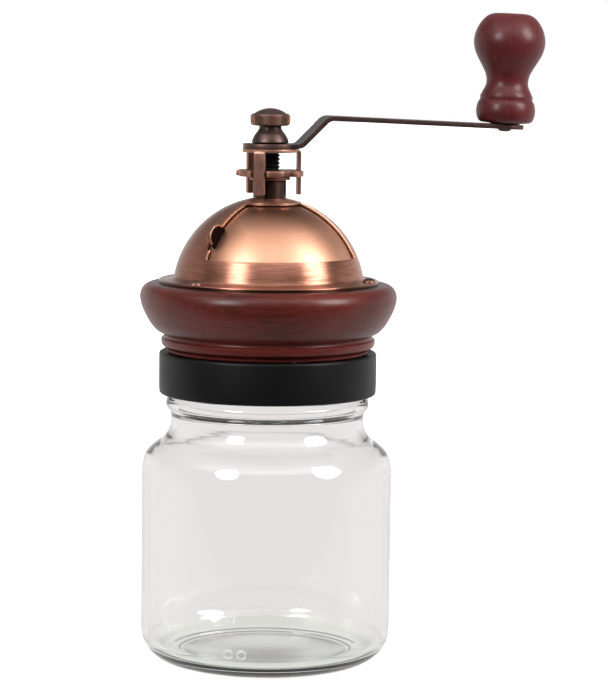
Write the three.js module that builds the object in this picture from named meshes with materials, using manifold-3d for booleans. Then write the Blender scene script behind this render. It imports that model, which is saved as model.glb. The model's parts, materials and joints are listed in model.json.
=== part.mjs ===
// A hand coffee grinder: a glass jar, a screw collar, a turned wooden ring, a copper dome with a sliding
// hopper door, a conical burr set on a vertical spindle, and a cranked handle with a wooden knob.
// Millimetres, +Z up. The origin is the centre of the jar's base, and the hopper door faces -Y.
import * as THREE from "three";
import { mergeVertices } from "three/addons/utils/BufferGeometryUtils.js";
import Module from "manifold-3d";

const wasm = await Module();
wasm.setup();

// Driving dimensions.
const gap = 0.2; // between pieces that rest on each other
const play = 0.3; // all round a screw or a rod in its hole
const over = 1; // how far a cutting tool runs past what it cuts
const round = 36; // sides of a large turned piece
const fine = 18; // sides of a small turned piece

const jar = { bodyR: 49, wall: 2.6, heelR: 12, neckR: 37.7, mouthR: 34.8, rimZ: 116.8, floor: 5 };
const thread = { jarCrestR: 39.2, collarCrestR: 39.5, pitch: 5, turns: 1.25, lowZ: 107 };
const collar = { outerR: 42.5, innerR: 40.4, bottomZ: 105, ceilingZ: 118.9, topZ: 121.2, holeR: 30.4 };
const seal = { innerR: 34.9, outerR: 38.3, thickness: 1.7 };
const wood = { bottomZ: 121.4, topZ: 148.2, maxR: 50.1, boreR: 23.3, ledgeZ: 137.6, throatR: 21.6 };
const dome = { sphereR: 37.5, centreZ: 144.3, wall: 0.9, flangeR: 42.8, flangeZ: 148.4, flangeT: 1 };
const opening = { halfAngle: 60, bottomZ: 158.8, topR: 12.3 }; // the window in the dome
const door = { drop: 0.5, wall: 0.8, from: -65, to: 66, bottomZ: 154.5, tabAngle: -58.2 };
const neck = { outerR: 6.5, innerR: 5.3, topZ: 188.1, flangeR: 10.6, flangeTopZ: 177.8, bottomZ: 175.8 };
const spindle = { r: 3.9, bottomZ: 103.6, tailR: 2.9, shoulderZ: 132.7, tipR: 2.5, topZ: 212 };
const drive = { width: 5.4, bottomZ: 198.3, topZ: 202.4 }; // the square part of the spindle
const groove = { r: 3.3, lowZ: 146.6, highZ: 148 }; // in the spindle, for the clip
const clip = { innerR: 3.5, outerR: 7, lowZ: 146.8, highZ: 147.8, mouthHalfAngle: 30 };
const spring = { r: 6, wireR: 0.6, turns: 7 };
const bridge = { lowZ: 134.2, hubR: 8, hubTopZ: 139.6, boreR: 5.7, armWidth: 5 };
const lower = { outerR: 5.5, lowZ: 134.4, highZ: 140.4 }; // the lower bush
const star = { r: 13.2, bottomZ: 189.7, thickness: 2.4, notches: 6, notchWidth: 5, notchR: 9.9 };
const bracket = { discR: 10.7, bottomZ: 199, sheet: 1.3, legWidth: 4.3, legR: 12, legEndZ: 182.6 };
const crank = { radius: 93.5, heading: -6.5, lean: 2.3, thickness: 1.8, hubR: 10.5, width: 15.4, rise: 10.9 };
const knob = { baseZ: 1.3, height: 41.6, pinR: 3 };
const burr = { teeth: 12, toothDepth: 1.1, twist: 0.35, bottomZ: 112 };
const burrNutSize = { acrossCorners: 12.8, lowZ: 105.2, highZ: 110.2 };
const burrWasherSize = { outerR: 8, lowZ: 110.4 };
const knobBushSize = { outerR: 4.6, topHeight: 27 };

// Screws: the circle they stand on, the angle of each, and their sizes.
const screwShankR = 1.4;
const domeScrew = { circleR: 40, angles: [90, 210, 330], headR: 2.5, headHeight: 1.7, length: 9 };
const burrScrew = { circleR: 26.8, angles: [90, 210, 330], headR: 2.7, headHeight: 1.6, length: 12 };
const collarScrew = { circleR: 34.6, angles: [30, 150, 270], headR: 2.4, length: 9 };

const finishes = {
  glass: { color: 0xdfe6e2, roughness: 0.05, metalness: 0 },
  rubber: { color: 0xd8d4cc, roughness: 0.7, metalness: 0 },
  blackPlastic: { color: 0x0e0e10, roughness: 0.4, metalness: 0 },
  mahogany: { color: 0x54231c, roughness: 0.3, metalness: 0 },
  copper: { color: 0xb87852, roughness: 0.3, metalness: 1 },
  darkCopper: { color: 0x4a332e, roughness: 0.42, metalness: 0.9 },
  steel: { color: 0x9a9a9a, roughness: 0.35, metalness: 1 },
  castIron: { color: 0x3c3c3e, roughness: 0.6, metalness: 0.8 },
  brass: { color: 0xb08d4f, roughness: 0.35, metalness: 1 },
};

// Geometry helpers.
const rad = THREE.MathUtils.degToRad;
const v2 = (x, y) => new THREE.Vector2(x, y);

// A closed solid of revolution about Z. The outline runs in (radius, height) and closes on itself, or
// starts and ends on the axis.
function turned(outline, sides = round) {
  const points = outline.map(([r, z]) => v2(r, z));
  if (points[0].x > 0) points.push(points[0].clone());
  const area = THREE.ShapeUtils.area(points);
  if (area < 0) points.reverse();
  return new THREE.LatheGeometry(points, sides).rotateX(Math.PI / 2);
}

// The points of an arc in an outline, from one angle to another in degrees.
function arc(cx, cz, r, from, to, steps) {
  return Array.from({ length: steps + 1 }, (_, i) => {
    const a = rad(from + ((to - from) * i) / steps);
    return [cx + r * Math.cos(a), cz + r * Math.sin(a)];
  });
}

// A plain ring or disc between two heights.
const ring = (innerR, outerR, low, high, sides = fine) =>
  turned(
    innerR > 0
      ? [[innerR, low], [outerR, low], [outerR, high], [innerR, high]]
      : [[0, low], [outerR, low], [outerR, high], [0, high]],
    sides,
  );

const box = (x0, x1, y0, y1, z0, z1) =>
  new THREE.BoxGeometry(x1 - x0, y1 - y0, z1 - z0).translate((x0 + x1) / 2, (y0 + y1) / 2, (z0 + z1) / 2);

// A flat shape stood up between two heights.
function plate(shape, low, high, curveSegments = 8) {
  const settings = { depth: high - low, bevelEnabled: false, curveSegments };
  return new THREE.ExtrudeGeometry(shape, settings).translate(0, 0, low);
}

const circle = (r) => new THREE.Shape().absarc(0, 0, r, 0, Math.PI * 2, false);

function polygon(points) {
  return new THREE.Shape(points.map(([x, y]) => v2(x, y)));
}

// A round wire or a section swept along a curve.
function swept(curve, section, steps) {
  return new THREE.ExtrudeGeometry(section, { steps, extrudePath: curve, curveSegments: 3 });
}

const at = (geometry, x, y, z = 0) => geometry.translate(x, y, z);
const spun = (geometry, degrees) => geometry.rotateZ(rad(degrees));
const around = (count, make) => Array.from({ length: count }, (_, i) => spun(make(), (i * 360) / count));

// Holes for a set of screws, between two heights.
const screwHoles = (screw, low, high) =>
  screw.angles.map((a) => spun(at(ring(0, screwShankR + play, low, high, 8), screw.circleR, 0), a));

function toSolid(geometry) {
  const bare = geometry.clone();
  bare.deleteAttribute("normal");
  bare.deleteAttribute("uv");
  const merged = mergeVertices(bare, 1e-4);
  return new wasm.Manifold(
    new wasm.Mesh({
      numProp: 3,
      vertProperties: merged.attributes.position.array,
      triVerts: new Uint32Array(merged.index.array),
    }),
  );
}

function toGeometry(solid) {
  const mesh = solid.getMesh();
  const geometry = new THREE.BufferGeometry();
  geometry.setAttribute("position", new THREE.BufferAttribute(mesh.vertProperties, 3));
  geometry.setIndex(new THREE.BufferAttribute(mesh.triVerts, 1));
  return geometry;
}

const joined = (first, ...rest) =>
  toGeometry(rest.reduce((sum, part) => sum.add(toSolid(part)), toSolid(first)));
const cut = (first, ...rest) =>
  toGeometry(rest.reduce((sum, part) => sum.subtract(toSolid(part)), toSolid(first)));
const shared = (first, second) => toGeometry(toSolid(first).intersect(toSolid(second)));

function part(name, geometry, finish) {
  const material = new THREE.MeshStandardMaterial(finishes[finish]);
  const drawn = geometry.index ? geometry.toNonIndexed() : geometry;
  drawn.computeVertexNormals();
  const mesh = new THREE.Mesh(drawn, material);
  mesh.name = name;
  return mesh;
}

// The helical rib of a screw thread, as a closed tube of trapezoid section.
class Helix extends THREE.Curve {
  constructor(r, lowZ, pitch, turns) {
    super();
    Object.assign(this, { r, lowZ, pitch, turns });
  }
  getPoint(t, target = new THREE.Vector3()) {
    const a = t * this.turns * Math.PI * 2;
    return target.set(this.r * Math.cos(a), this.r * Math.sin(a), this.lowZ + t * this.turns * this.pitch);
  }
}

// A rib whose root is buried in the wall at rootR and whose crest stands at crestR.
function threadRib(rootR, crestR, lowZ) {
  const width = 1.1;
  const section = polygon([[-width, -width], [width, -width], [width, width], [-width, width]]);
  const middle = (rootR + crestR) / 2;
  const rib = swept(new Helix(middle, lowZ, thread.pitch, thread.turns), section, 24);
  const low = lowZ - 2;
  const high = lowZ + thread.pitch * thread.turns + 2;
  const bounds = ring(Math.min(rootR, crestR), Math.max(rootR, crestR), low, high, round);
  return shared(rib, bounds);
}

// Sub-parts of the jar.
function glassJar() {
  const { bodyR, wall, heelR, neckR, mouthR, rimZ, floor } = jar;
  const inner = bodyR - wall;
  const outside = [
    [0, 0],
    [bodyR - heelR + 1.5, 0],
    ...arc(bodyR - heelR, heelR, heelR, -66, 0, 3),
    [bodyR, 75],
    [48, 80],
    [44, 84],
    [39.2, 88.8],
    [neckR, 94.7],
    [38.4, 98.4],
    [39.6, 100],
    [39.6, 102.4],
    [38, 104.2],
    [38, rimZ],
  ];
  const inside = [
    [mouthR, rimZ],
    [mouthR, 94],
    [36.6, 88.5],
    [41.6, 83.6],
    [45.2, 79.4],
    [inner, 74.5],
    ...arc(inner - 7, floor + 7, 7, 0, -60, 2),
    [38, floor + 0.3],
    [0, floor + 0.8],
  ];
  return joined(turned([...outside, ...inside]), threadRib(37.8, thread.jarCrestR, thread.lowZ));
}

const jarSeal = () =>
  ring(seal.innerR, seal.outerR, jar.rimZ + gap, jar.rimZ + gap + seal.thickness, round);

// Sub-parts of the head: collar, ring, dome and bearings.
function jarCollar() {
  const { outerR, innerR, bottomZ, ceilingZ, topZ, holeR } = collar;
  const cap = turned([
    [innerR, bottomZ],
    [outerR - 0.8, bottomZ],
    [outerR, bottomZ + 0.8],
    [outerR, topZ - 1],
    [outerR - 1, topZ],
    [holeR, topZ],
    [holeR, ceilingZ],
    [innerR, ceilingZ],
  ]);
  const rib = threadRib(innerR + 0.4, thread.collarCrestR, thread.lowZ + thread.pitch / 2);
  const holes = collarScrew.angles.map((a) => spun(at(countersink(), collarScrew.circleR, 0, ceilingZ), a));
  return cut(joined(cap, rib), ...holes);
}

// The hole for a countersunk screw that goes up from a face at height 0.
function countersink() {
  const mouthR = collarScrew.headR + 0.5;
  const holeR = screwShankR + gap;
  const top = collarScrew.length + play;
  return turned([[0, -over], [mouthR, -over], [mouthR, play], [holeR, 1.6], [holeR, top], [0, top]], 12);
}

// A dome-head screw whose shank points down from height 0.
function domeHeadScrew({ headR, headHeight, length }) {
  const cap = arc(0, 0, 1, 20, 90, 2).map(([r, z]) => [r * headR, z * headHeight]);
  return turned([[0, -length], [screwShankR, -length], [screwShankR, 0], [headR, 0], ...cap], 12);
}

function woodRing() {
  const { bottomZ, topZ, maxR, boreR, ledgeZ, throatR } = wood;
  const outline = [
    [boreR, bottomZ],
    [40.3, bottomZ],
    ...arc(39.4, 125.4, 2.1, -60, 60, 3),
    [41, 128],
    [42, 128.8],
    [45.8, 132.2],
    [47.2, 134.6],
    [49.1, 138.1],
    ...arc(maxR - 4.6, 142.6, 4.6, -12, 55, 3),
    [43, topZ],
    [34.2, topZ],
    [31, 144],
    [throatR, ledgeZ],
    [boreR, ledgeZ],
  ];
  const recess = ring(boreR - over, 30, bottomZ - over, bottomZ + 3, round);
  return cut(
    turned(outline),
    recess,
    ...screwHoles(domeScrew, 138, topZ + over),
    ...screwHoles(burrScrew, bottomZ, 135),
    ...screwHoles(collarScrew, bottomZ - over, 130.5),
  );
}

// Height of a sphere about the dome's centre at a radius from the axis.
const sphereZ = (sphereR, r) => dome.centreZ + Math.sqrt(sphereR ** 2 - r ** 2);

// Points of a dome of some sphere radius, from a low height up to a small radius about the axis.
function domeCurve(sphereR, lowZ, topR, steps) {
  const low = THREE.MathUtils.radToDeg(Math.asin((lowZ - dome.centreZ) / sphereR));
  const high = THREE.MathUtils.radToDeg(Math.acos(topR / sphereR));
  return arc(0, dome.centreZ, sphereR, low, high, steps);
}

// A wedge about the axis between two angles from -Y, two radii and two heights.
function wedge(from, to, innerR, outerR, low, high) {
  const start = rad(270 + from);
  const end = rad(270 + to);
  const shape = new THREE.Shape();
  shape.absarc(0, 0, outerR, start, end, false);
  shape.absarc(0, 0, innerR, end, start, true);
  return plate(shape, low, high, 12);
}

function domeShell() {
  const { sphereR, wall, flangeR, flangeZ, flangeT } = dome;
  const holeR = neck.outerR + play;
  const outer = domeCurve(sphereR, flangeZ + flangeT, holeR, 8);
  const inner = domeCurve(sphereR - wall, flangeZ, holeR, 8).reverse();
  const shell = turned([[flangeR, flangeZ], [flangeR, flangeZ + flangeT], ...outer, ...inner]);
  const { halfAngle, bottomZ, topR } = opening;
  const window = wedge(-halfAngle, halfAngle, topR, 60, bottomZ, 190);
  const tabNotch = wedge(door.tabAngle - 4.2, door.tabAngle, 20, 60, 162, 169.8);
  return cut(shell, window, tabNotch, ...screwHoles(domeScrew, flangeZ - over, flangeZ + 3));
}

// The door: a slice of a smaller dome, hung on the neck tube, with a finger tab near its left edge.
function hopperDoor() {
  const outerR = dome.sphereR - dome.wall - door.drop;
  const innerR = outerR - door.wall;
  const hubR = neck.outerR + 0.4;
  const crown = domeCurve(outerR, door.bottomZ, hubR, 7);
  const under = domeCurve(innerR, door.bottomZ, hubR, 7).reverse();
  const shell = turned([...crown, ...under]);
  const slice = wedge(door.from, door.to, 1, 60, 150, 190);
  const hub = ring(0, 10.5, 150, 190);
  const leaf = toGeometry(toSolid(shell).intersect(toSolid(slice).add(toSolid(hub))));
  const tab = spun(fingerTab(), 270 + door.tabAngle);
  return joined(leaf, tab);
}

// A half-round lug that stands out of the door in the plane through the axis.
function fingerTab() {
  const middleZ = 166;
  const outerR = dome.sphereR - dome.wall - door.drop;
  const steep = Math.asin((middleZ - dome.centreZ) / outerR);
  const lug = new THREE.Shape();
  lug.moveTo(-0.6, -3.6);
  lug.lineTo(2, -3.6);
  lug.absellipse(2, 0, 4, 3.6, -Math.PI / 2, Math.PI / 2, false, 0);
  lug.lineTo(-0.6, 3.6);
  const sheet = plate(lug, -0.5, 0.5, 6).rotateX(Math.PI / 2);
  return sheet.rotateY(-steep).translate(outerR * Math.cos(steep), 0, middleZ);
}

function neckTube() {
  const { outerR, innerR, topZ, flangeR, flangeTopZ, bottomZ } = neck;
  return turned(
    [
      [innerR, bottomZ],
      [flangeR, bottomZ],
      [flangeR, flangeTopZ],
      [outerR, flangeTopZ],
      [outerR, topZ - 0.4],
      [outerR - 0.4, topZ],
      [innerR, topZ],
    ],
    fine,
  );
}

const upperBush = () => ring(spindle.r + gap, neck.innerR - gap, neck.bottomZ + 0.8, neck.topZ - 0.3);
const thrustWasher = () => ring(spindle.r + play, 7.9, neck.topZ + gap, neck.topZ + gap + 1.2);

// A spider with three arms that carries the lower bush across the hopper's throat.
function bearingBridge() {
  const { lowZ, hubR, hubTopZ, boreR, armWidth } = bridge;
  const highZ = wood.ledgeZ - gap;
  const half = armWidth / 2;
  const rim = ring(wood.throatR - 0.8, wood.boreR - play, lowZ, highZ, round);
  const hub = ring(0, hubR, lowZ, hubTopZ);
  const arms = around(3, () => spun(box(4, 22, -half, half, lowZ, highZ), 30));
  return cut(joined(rim, hub, ...arms), ring(0, boreR, lowZ - over, hubTopZ + over));
}

const lowerBush = () => ring(spindle.r + gap, lower.outerR, lower.lowZ, lower.highZ);

// Raised teeth on a turned cone: the radius rises and falls round the axis, and the crests twist upwards.
function toothed(outline, cutsInto, sides) {
  const geometry = turned(outline, sides);
  const place = geometry.attributes.position;
  for (let i = 0; i < place.count; i += 1) {
    const [x, y, z] = [place.getX(i), place.getY(i), place.getZ(i)];
    const r = Math.hypot(x, y);
    const reach = cutsInto(r, z);
    if (reach !== 0) {
      const phase = ((Math.atan2(y, x) / Math.PI / 2) * burr.teeth + 4 * burr.teeth) % 1;
      const deep = phase < 0.9 ? phase : (1 - phase) * 9;
      const scale = (r + reach * burr.toothDepth * (deep < 0.01 ? 0 : deep)) / r;
      const turn = burr.twist * ((z - burr.bottomZ) / 20);
      const [c, s] = [Math.cos(turn), Math.sin(turn)];
      place.setXYZ(i, scale * (x * c - y * s), scale * (x * s + y * c), z);
    }
  }
  return geometry;
}

function ringBurr() {
  const body = [
    [22.6, burr.bottomZ],
    [22.6, 121.6],
    [29.6, 121.6],
    [29.6, 124.2],
    [22.6, 124.2],
    [22.6, 134],
    [20.9, 134],
    [18.9, 128],
    [17.3, 122],
    [18.2, 117],
    [19.2, burr.bottomZ],
  ];
  const teeth = (r) => (r < 20.5 ? 1 : 0);
  return cut(toothed(body, teeth, burr.teeth * 4), ...screwHoles(burrScrew, 120, 126));
}

function coneBurr() {
  const outline = [
    [3.2, burr.bottomZ],
    [18.6, burr.bottomZ],
    [17.6, 117],
    [16.6, 121.6],
    [12, 127],
    [7.4, 132.4],
    [3.2, 132.4],
  ];
  return toothed(outline, (r) => (r > 7 ? -1 : 0), burr.teeth * 4);
}

// Sub-parts that turn with the crank.
function spindleRod() {
  const { r, bottomZ, tailR, shoulderZ, tipR, topZ } = spindle;
  const rodTopZ = drive.bottomZ + 0.5;
  const rod = turned(
    [
      [0, bottomZ],
      [tailR - 0.4, bottomZ],
      [tailR, bottomZ + 0.4],
      [tailR, shoulderZ],
      [r, shoulderZ],
      [r, groove.lowZ],
      [groove.r, groove.lowZ],
      [groove.r, groove.highZ],
      [r, groove.highZ],
      [r, rodTopZ],
      [tipR, rodTopZ],
      [tipR, topZ],
      [0, topZ],
    ],
    fine,
  );
  const half = drive.width / 2;
  return joined(rod, box(-half, half, -half, half, drive.bottomZ, drive.topZ));
}

// A ring open on one side, snapped into the spindle's groove.
function springClip() {
  const start = rad(clip.mouthHalfAngle);
  const end = rad(360 - clip.mouthHalfAngle);
  const shape = new THREE.Shape();
  shape.absarc(0, 0, clip.outerR, start, end, false);
  shape.absarc(0, 0, clip.innerR, end, start, true);
  return plate(shape, clip.lowZ, clip.highZ, 14);
}

function spindleSpring() {
  const { r, wireR, turns } = spring;
  const low = clip.highZ + gap + wireR;
  const high = neck.bottomZ - gap - wireR;
  const coil = new Helix(r, low, (high - low) / turns, turns);
  return swept(coil, circle(wireR), turns * 10);
}

function adjustingNut() {
  const { r, bottomZ, thickness, notches, notchWidth, notchR } = star;
  const top = bottomZ + thickness;
  const blank = turned(
    [[0, bottomZ], [r - 0.5, bottomZ], [r, bottomZ + 0.5], [r, top - 0.7], [r - 0.7, top], [0, top]],
    24,
  );
  const flare = 1.1; // a notch is wider at its mouth
  const half = notchWidth / 2;
  const notch = () =>
    plate(
      polygon([[notchR, -half], [r + over, -half - flare], [r + over, half + flare], [notchR, half]]),
      bottomZ - over,
      top + over,
    );
  return cut(blank, ring(0, spindle.r + play, bottomZ - over, top + over), ...around(notches, notch));
}

// A disc with three legs bent down that sit in the notches of the star nut.
function lockBracket() {
  const { discR, bottomZ, sheet, legWidth, legR, legEndZ } = bracket;
  const top = bottomZ + sheet;
  const half = legWidth / 2;
  const bend = 1.6;
  const leg = () => {
    const side = polygon([
      [4, bottomZ],
      ...arc(legR - bend, top - bend, bend - sheet, 90, 0, 2),
      [legR - sheet, legEndZ],
      [legR - 0.4, legEndZ],
      [legR, legEndZ + 0.4],
      ...arc(legR - bend, top - bend, bend, 0, 90, 4),
      [4, top],
    ]);
    return plate(side, -half, half).rotateX(Math.PI / 2);
  };
  const disc = ring(0, discR, bottomZ, top, 24);
  const hole = squareHole(bottomZ - over, top + over);
  return cut(joined(disc, ...around(3, leg)), hole);
}

// The hole that fits over the spindle's square.
function squareHole(low, high) {
  const half = drive.width / 2 + play;
  return box(-half, half, -half, half, low, high);
}

// The crank's heights, from the bracket's top face.
const armLow = bracket.bottomZ + bracket.sheet + gap;
const armOuter = crank.radius + 7.5;
const bendStart = 10.8;

// The arm's underside at a distance from the axis, on its outer run.
const outerRunZ = (x) =>
  armLow + crank.rise - (x - bendStart - crank.rise) * Math.tan(rad(crank.lean));

// A flat bar, cranked up at 45 degrees near the hub, whose outer run falls slightly.
function crankArm() {
  const { thickness, hubR, width, rise } = crank;
  const upperBend = bendStart + rise;
  const slant = thickness * Math.tan(rad(22.5));
  const side = polygon([
    [-hubR - over, armLow],
    [bendStart, armLow],
    [upperBend, armLow + rise],
    [armOuter + over, outerRunZ(armOuter + over)],
    [armOuter + over, outerRunZ(armOuter + over) + thickness],
    [upperBend - slant, armLow + rise + thickness],
    [bendStart - slant, armLow + thickness],
    [-hubR - over, armLow + thickness],
  ]);
  const bar = plate(side, -20, 20).rotateX(Math.PI / 2);
  const half = width / 2;
  const start = Math.sqrt(hubR ** 2 - half ** 2);
  const plan = new THREE.Shape();
  plan.absarc(0, 0, hubR, Math.atan2(half, start), -Math.atan2(half, start) + Math.PI * 2, false);
  plan.absarc(armOuter - half, 0, half, -Math.PI / 2, Math.PI / 2, false);
  const flat = shared(bar, plate(plan, armLow - 5, armLow + 30, 16));
  const eye = at(ring(0, knob.pinR + play, armLow - 5, armLow + 30, 16), crank.radius, 0);
  return cut(flat, squareHole(armLow - over, armLow + 5), eye);
}

function capNut() {
  const low = armLow + crank.thickness + gap;
  const boreR = spindle.tipR + play;
  const boreTop = spindle.topZ + 0.4;
  return turned(
    [
      [0, boreTop],
      [boreR, boreTop],
      [boreR, low],
      [6.5, low],
      [7.1, low + 0.6],
      [6.9, 203.8],
      [6.1, 205.4],
      [4.9, 206.8],
      [4.5, 208],
      [4.5, 208.9],
      [6.9, 209.3],
      [7.5, 209.9],
      [7.5, 213],
      [6.9, 213.6],
      ...arc(0, 206, 10, 46, 90, 3),
    ],
    fine,
  );
}

const burrWasher = () =>
  ring(spindle.tailR + play, burrWasherSize.outerR, burrWasherSize.lowZ, burr.bottomZ - gap);

function burrNut() {
  const { acrossCorners, lowZ, highZ } = burrNutSize;
  const hexagon = ring(0, acrossCorners / 2, lowZ, highZ, 6).rotateZ(rad(30));
  return cut(hexagon, ring(0, spindle.tailR + play, lowZ - over, highZ + over));
}

// The knob's pieces are built along their own axis, with height 0 on top of the arm.
function knobPin() {
  const low = -crank.thickness - gap;
  return turned(
    [
      [0, low - 1],
      [2.2, low - 1],
      [2.9, low - 0.2],
      [2.9, low - 0.1],
      [knob.pinR - 0.3, low + 0.3],
      [knob.pinR - 0.3, 28],
      [knob.pinR - 0.8, 28.6],
      [0, 28.6],
    ],
    16,
  );
}

const knobWasher = () => ring(knob.pinR + gap, 6, 0.3, 1);
const knobBush = () => ring(knob.pinR + gap, knobBushSize.outerR, knob.baseZ + 0.1, knobBushSize.topHeight);

function knobGrip() {
  const { baseZ, height } = knob;
  const top = baseZ + height;
  const outline = [
    [9.6, baseZ],
    [11.2, baseZ + 1.4],
    [11.6, baseZ + 5],
    [11.2, baseZ + 7.3],
    [10.2, baseZ + 9],
    [9.9, baseZ + 11.4],
    [8.4, baseZ + 14.4],
    [8.8, baseZ + 18.8],
    [11.6, baseZ + 23.5],
    [13.5, baseZ + 27.3],
    [14, baseZ + 30.6],
    [13.3, baseZ + 34.8],
    [11.2, baseZ + 38.8],
    [6.4, top],
    [0, top],
    [0, 30.5],
    [knobBushSize.outerR + gap, 30.5],
    [knobBushSize.outerR + gap, baseZ],
  ];
  return turned(outline, 24);
}

// Screws and rivets, each its own piece.
const domeScrewPiece = () => at(domeHeadScrew(domeScrew), 0, 0, dome.flangeZ + dome.flangeT + gap / 2);
const burrScrewPiece = () => at(domeHeadScrew(burrScrew).rotateX(Math.PI), 0, 0, 121.5);

function collarScrewPiece() {
  const { headR, length } = collarScrew;
  const countersunk = [[0, 0.1], [headR, 0.1], [headR, 0.4], [screwShankR, 1.7], [screwShankR, length]];
  return at(turned([...countersunk, [0, length]], 12), 0, 0, collar.ceilingZ);
}

function addScrews(group, name, piece, { circleR, angles }, finish) {
  angles.forEach((angle, i) => {
    group.add(part(`${name}_${i + 1}`, spun(at(piece(), circleR, 0), angle), finish));
  });
}

// Assembly.
const grinder = new THREE.Group();
grinder.add(part("glass_jar", glassJar(), "glass"));
grinder.add(part("jar_seal", jarSeal(), "rubber"));

const head = new THREE.Group();
head.add(part("jar_collar", jarCollar(), "blackPlastic"));
head.add(part("wood_ring", woodRing(), "mahogany"));
head.add(part("dome_shell", domeShell(), "copper"));
head.add(part("neck_tube", neckTube(), "darkCopper"));
head.add(part("upper_bush", upperBush(), "brass"));
head.add(part("thrust_washer", thrustWasher(), "darkCopper"));
head.add(part("bearing_bridge", bearingBridge(), "steel"));
head.add(part("lower_bush", lowerBush(), "brass"));
head.add(part("ring_burr", ringBurr(), "castIron"));
addScrews(head, "dome_screw", domeScrewPiece, domeScrew, "darkCopper");
addScrews(head, "burr_screw", burrScrewPiece, burrScrew, "steel");
addScrews(head, "collar_screw", collarScrewPiece, collarScrew, "steel");
head.add(part("hopper_door", hopperDoor(), "copper"));
grinder.add(head);

const rotor = new THREE.Group();
rotor.rotation.z = rad(crank.heading);
rotor.add(part("spindle", spindleRod(), "darkCopper"));
rotor.add(part("spring_clip", springClip(), "steel"));
rotor.add(part("spindle_spring", spindleSpring(), "steel"));
rotor.add(part("cone_burr", coneBurr(), "castIron"));
rotor.add(part("burr_washer", burrWasher(), "steel"));
rotor.add(part("burr_nut", burrNut(), "steel"));
rotor.add(part("adjusting_nut", adjustingNut(), "darkCopper"));
rotor.add(part("lock_bracket", lockBracket(), "darkCopper"));
rotor.add(part("crank_arm", crankArm(), "darkCopper"));
rotor.add(part("cap_nut", capNut(), "darkCopper"));

const knobSeat = new THREE.Group();
knobSeat.position.set(crank.radius, 0, outerRunZ(crank.radius) + crank.thickness);
knobSeat.rotation.y = rad(crank.lean);
knobSeat.add(part("knob_pin", knobPin(), "darkCopper"));
knobSeat.add(part("knob_washer", knobWasher(), "darkCopper"));
knobSeat.add(part("knob_bush", knobBush(), "brass"));
knobSeat.add(part("knob_grip", knobGrip(), "mahogany"));
rotor.add(knobSeat);
grinder.add(rotor);

export default grinder;
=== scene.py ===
import json
import math

import bmesh
import bpy
from mathutils import Matrix, Vector


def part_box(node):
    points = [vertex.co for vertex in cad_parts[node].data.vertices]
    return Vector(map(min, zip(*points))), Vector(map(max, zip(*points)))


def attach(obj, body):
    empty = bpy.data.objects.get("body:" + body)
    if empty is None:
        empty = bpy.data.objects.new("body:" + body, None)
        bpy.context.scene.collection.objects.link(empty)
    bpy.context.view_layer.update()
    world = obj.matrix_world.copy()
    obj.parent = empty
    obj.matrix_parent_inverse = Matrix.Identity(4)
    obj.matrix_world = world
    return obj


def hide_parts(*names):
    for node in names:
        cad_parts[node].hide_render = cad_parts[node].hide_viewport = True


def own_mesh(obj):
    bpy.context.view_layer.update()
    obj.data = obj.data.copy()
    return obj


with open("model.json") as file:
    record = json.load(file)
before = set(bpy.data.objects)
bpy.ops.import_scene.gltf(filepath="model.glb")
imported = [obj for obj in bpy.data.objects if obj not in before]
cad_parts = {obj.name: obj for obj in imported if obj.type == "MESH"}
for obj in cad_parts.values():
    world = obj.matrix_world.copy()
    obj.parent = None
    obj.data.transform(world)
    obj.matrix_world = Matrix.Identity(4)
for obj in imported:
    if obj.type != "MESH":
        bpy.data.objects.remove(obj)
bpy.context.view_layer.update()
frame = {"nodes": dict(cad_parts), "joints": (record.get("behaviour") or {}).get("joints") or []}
mm = 0.001

# A hand coffee mill. Sizes in the dictionaries are millimetres, and heights come from the frame's boxes.


def lowOf(node):
    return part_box(node)[0].z / mm


def highOf(node):
    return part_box(node)[1].z / mm


def reachOf(node):  # the radius of a piece centred on the axis
    low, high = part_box(node)
    return (high.y - low.y) / 2 / mm


# camera, light and floor

viewpoint = {
    "heading": -16.0,  # degrees round from the hopper door
    "away": 1.0494,  # metres from the axis
    "height": 0.2409,
    "turnRight": 0.77,
    "tiltDown": 6.47,
    "roll": 0.71,
    "lens": 138.86,
}

studio = {
    "room": 0.105,  # light from the dark side of the room
    "backWall": 0.22,
    "horizon": 0.58,  # the bright sweep of paper low down behind the mill
    "overhead": 0.30,
    "panel": 1.95,  # a wide soft panel in front, above the camera
    "panelRise": (0.50, 0.60, 0.74, 0.93),  # sines of the heights between which it comes and fades
    "throughGlass": 0.72,  # what the jar's glass gathers from the white paper round it
    "lampAway": 1.25,
    "lamps": [(-40.0, 26.0, 0.46, 8.5), (64.0, 28.0, 0.58, 11.5)],  # angle, rise, size in metres, watts
    "floorSize": 14.0,
    "nearFloor": 0.10,
    "farFloor": 0.86,
}

heading = math.radians(viewpoint["heading"])
toCamera = Vector((math.sin(heading), -math.cos(heading), 0))
toRight = Vector((math.cos(heading), math.sin(heading), 0))


def makeCamera():
    data = bpy.data.cameras.new("camera")
    data.lens = viewpoint["lens"]
    data.sensor_width = 36
    data.clip_end = 50
    camera = bpy.data.objects.new("camera", data)
    bpy.context.scene.collection.objects.link(camera)
    place = toCamera * viewpoint["away"] + Vector((0, 0, viewpoint["height"]))
    turn = Matrix.Rotation(heading - math.radians(viewpoint["turnRight"]), 4, "Z")
    tilt = Matrix.Rotation(math.radians(90 - viewpoint["tiltDown"]), 4, "X")
    roll = Matrix.Rotation(math.radians(viewpoint["roll"]), 4, "Z")
    camera.matrix_world = Matrix.Translation(place) @ turn @ tilt @ roll
    bpy.context.scene.camera = camera


makeCamera()
print("camera")


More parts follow.
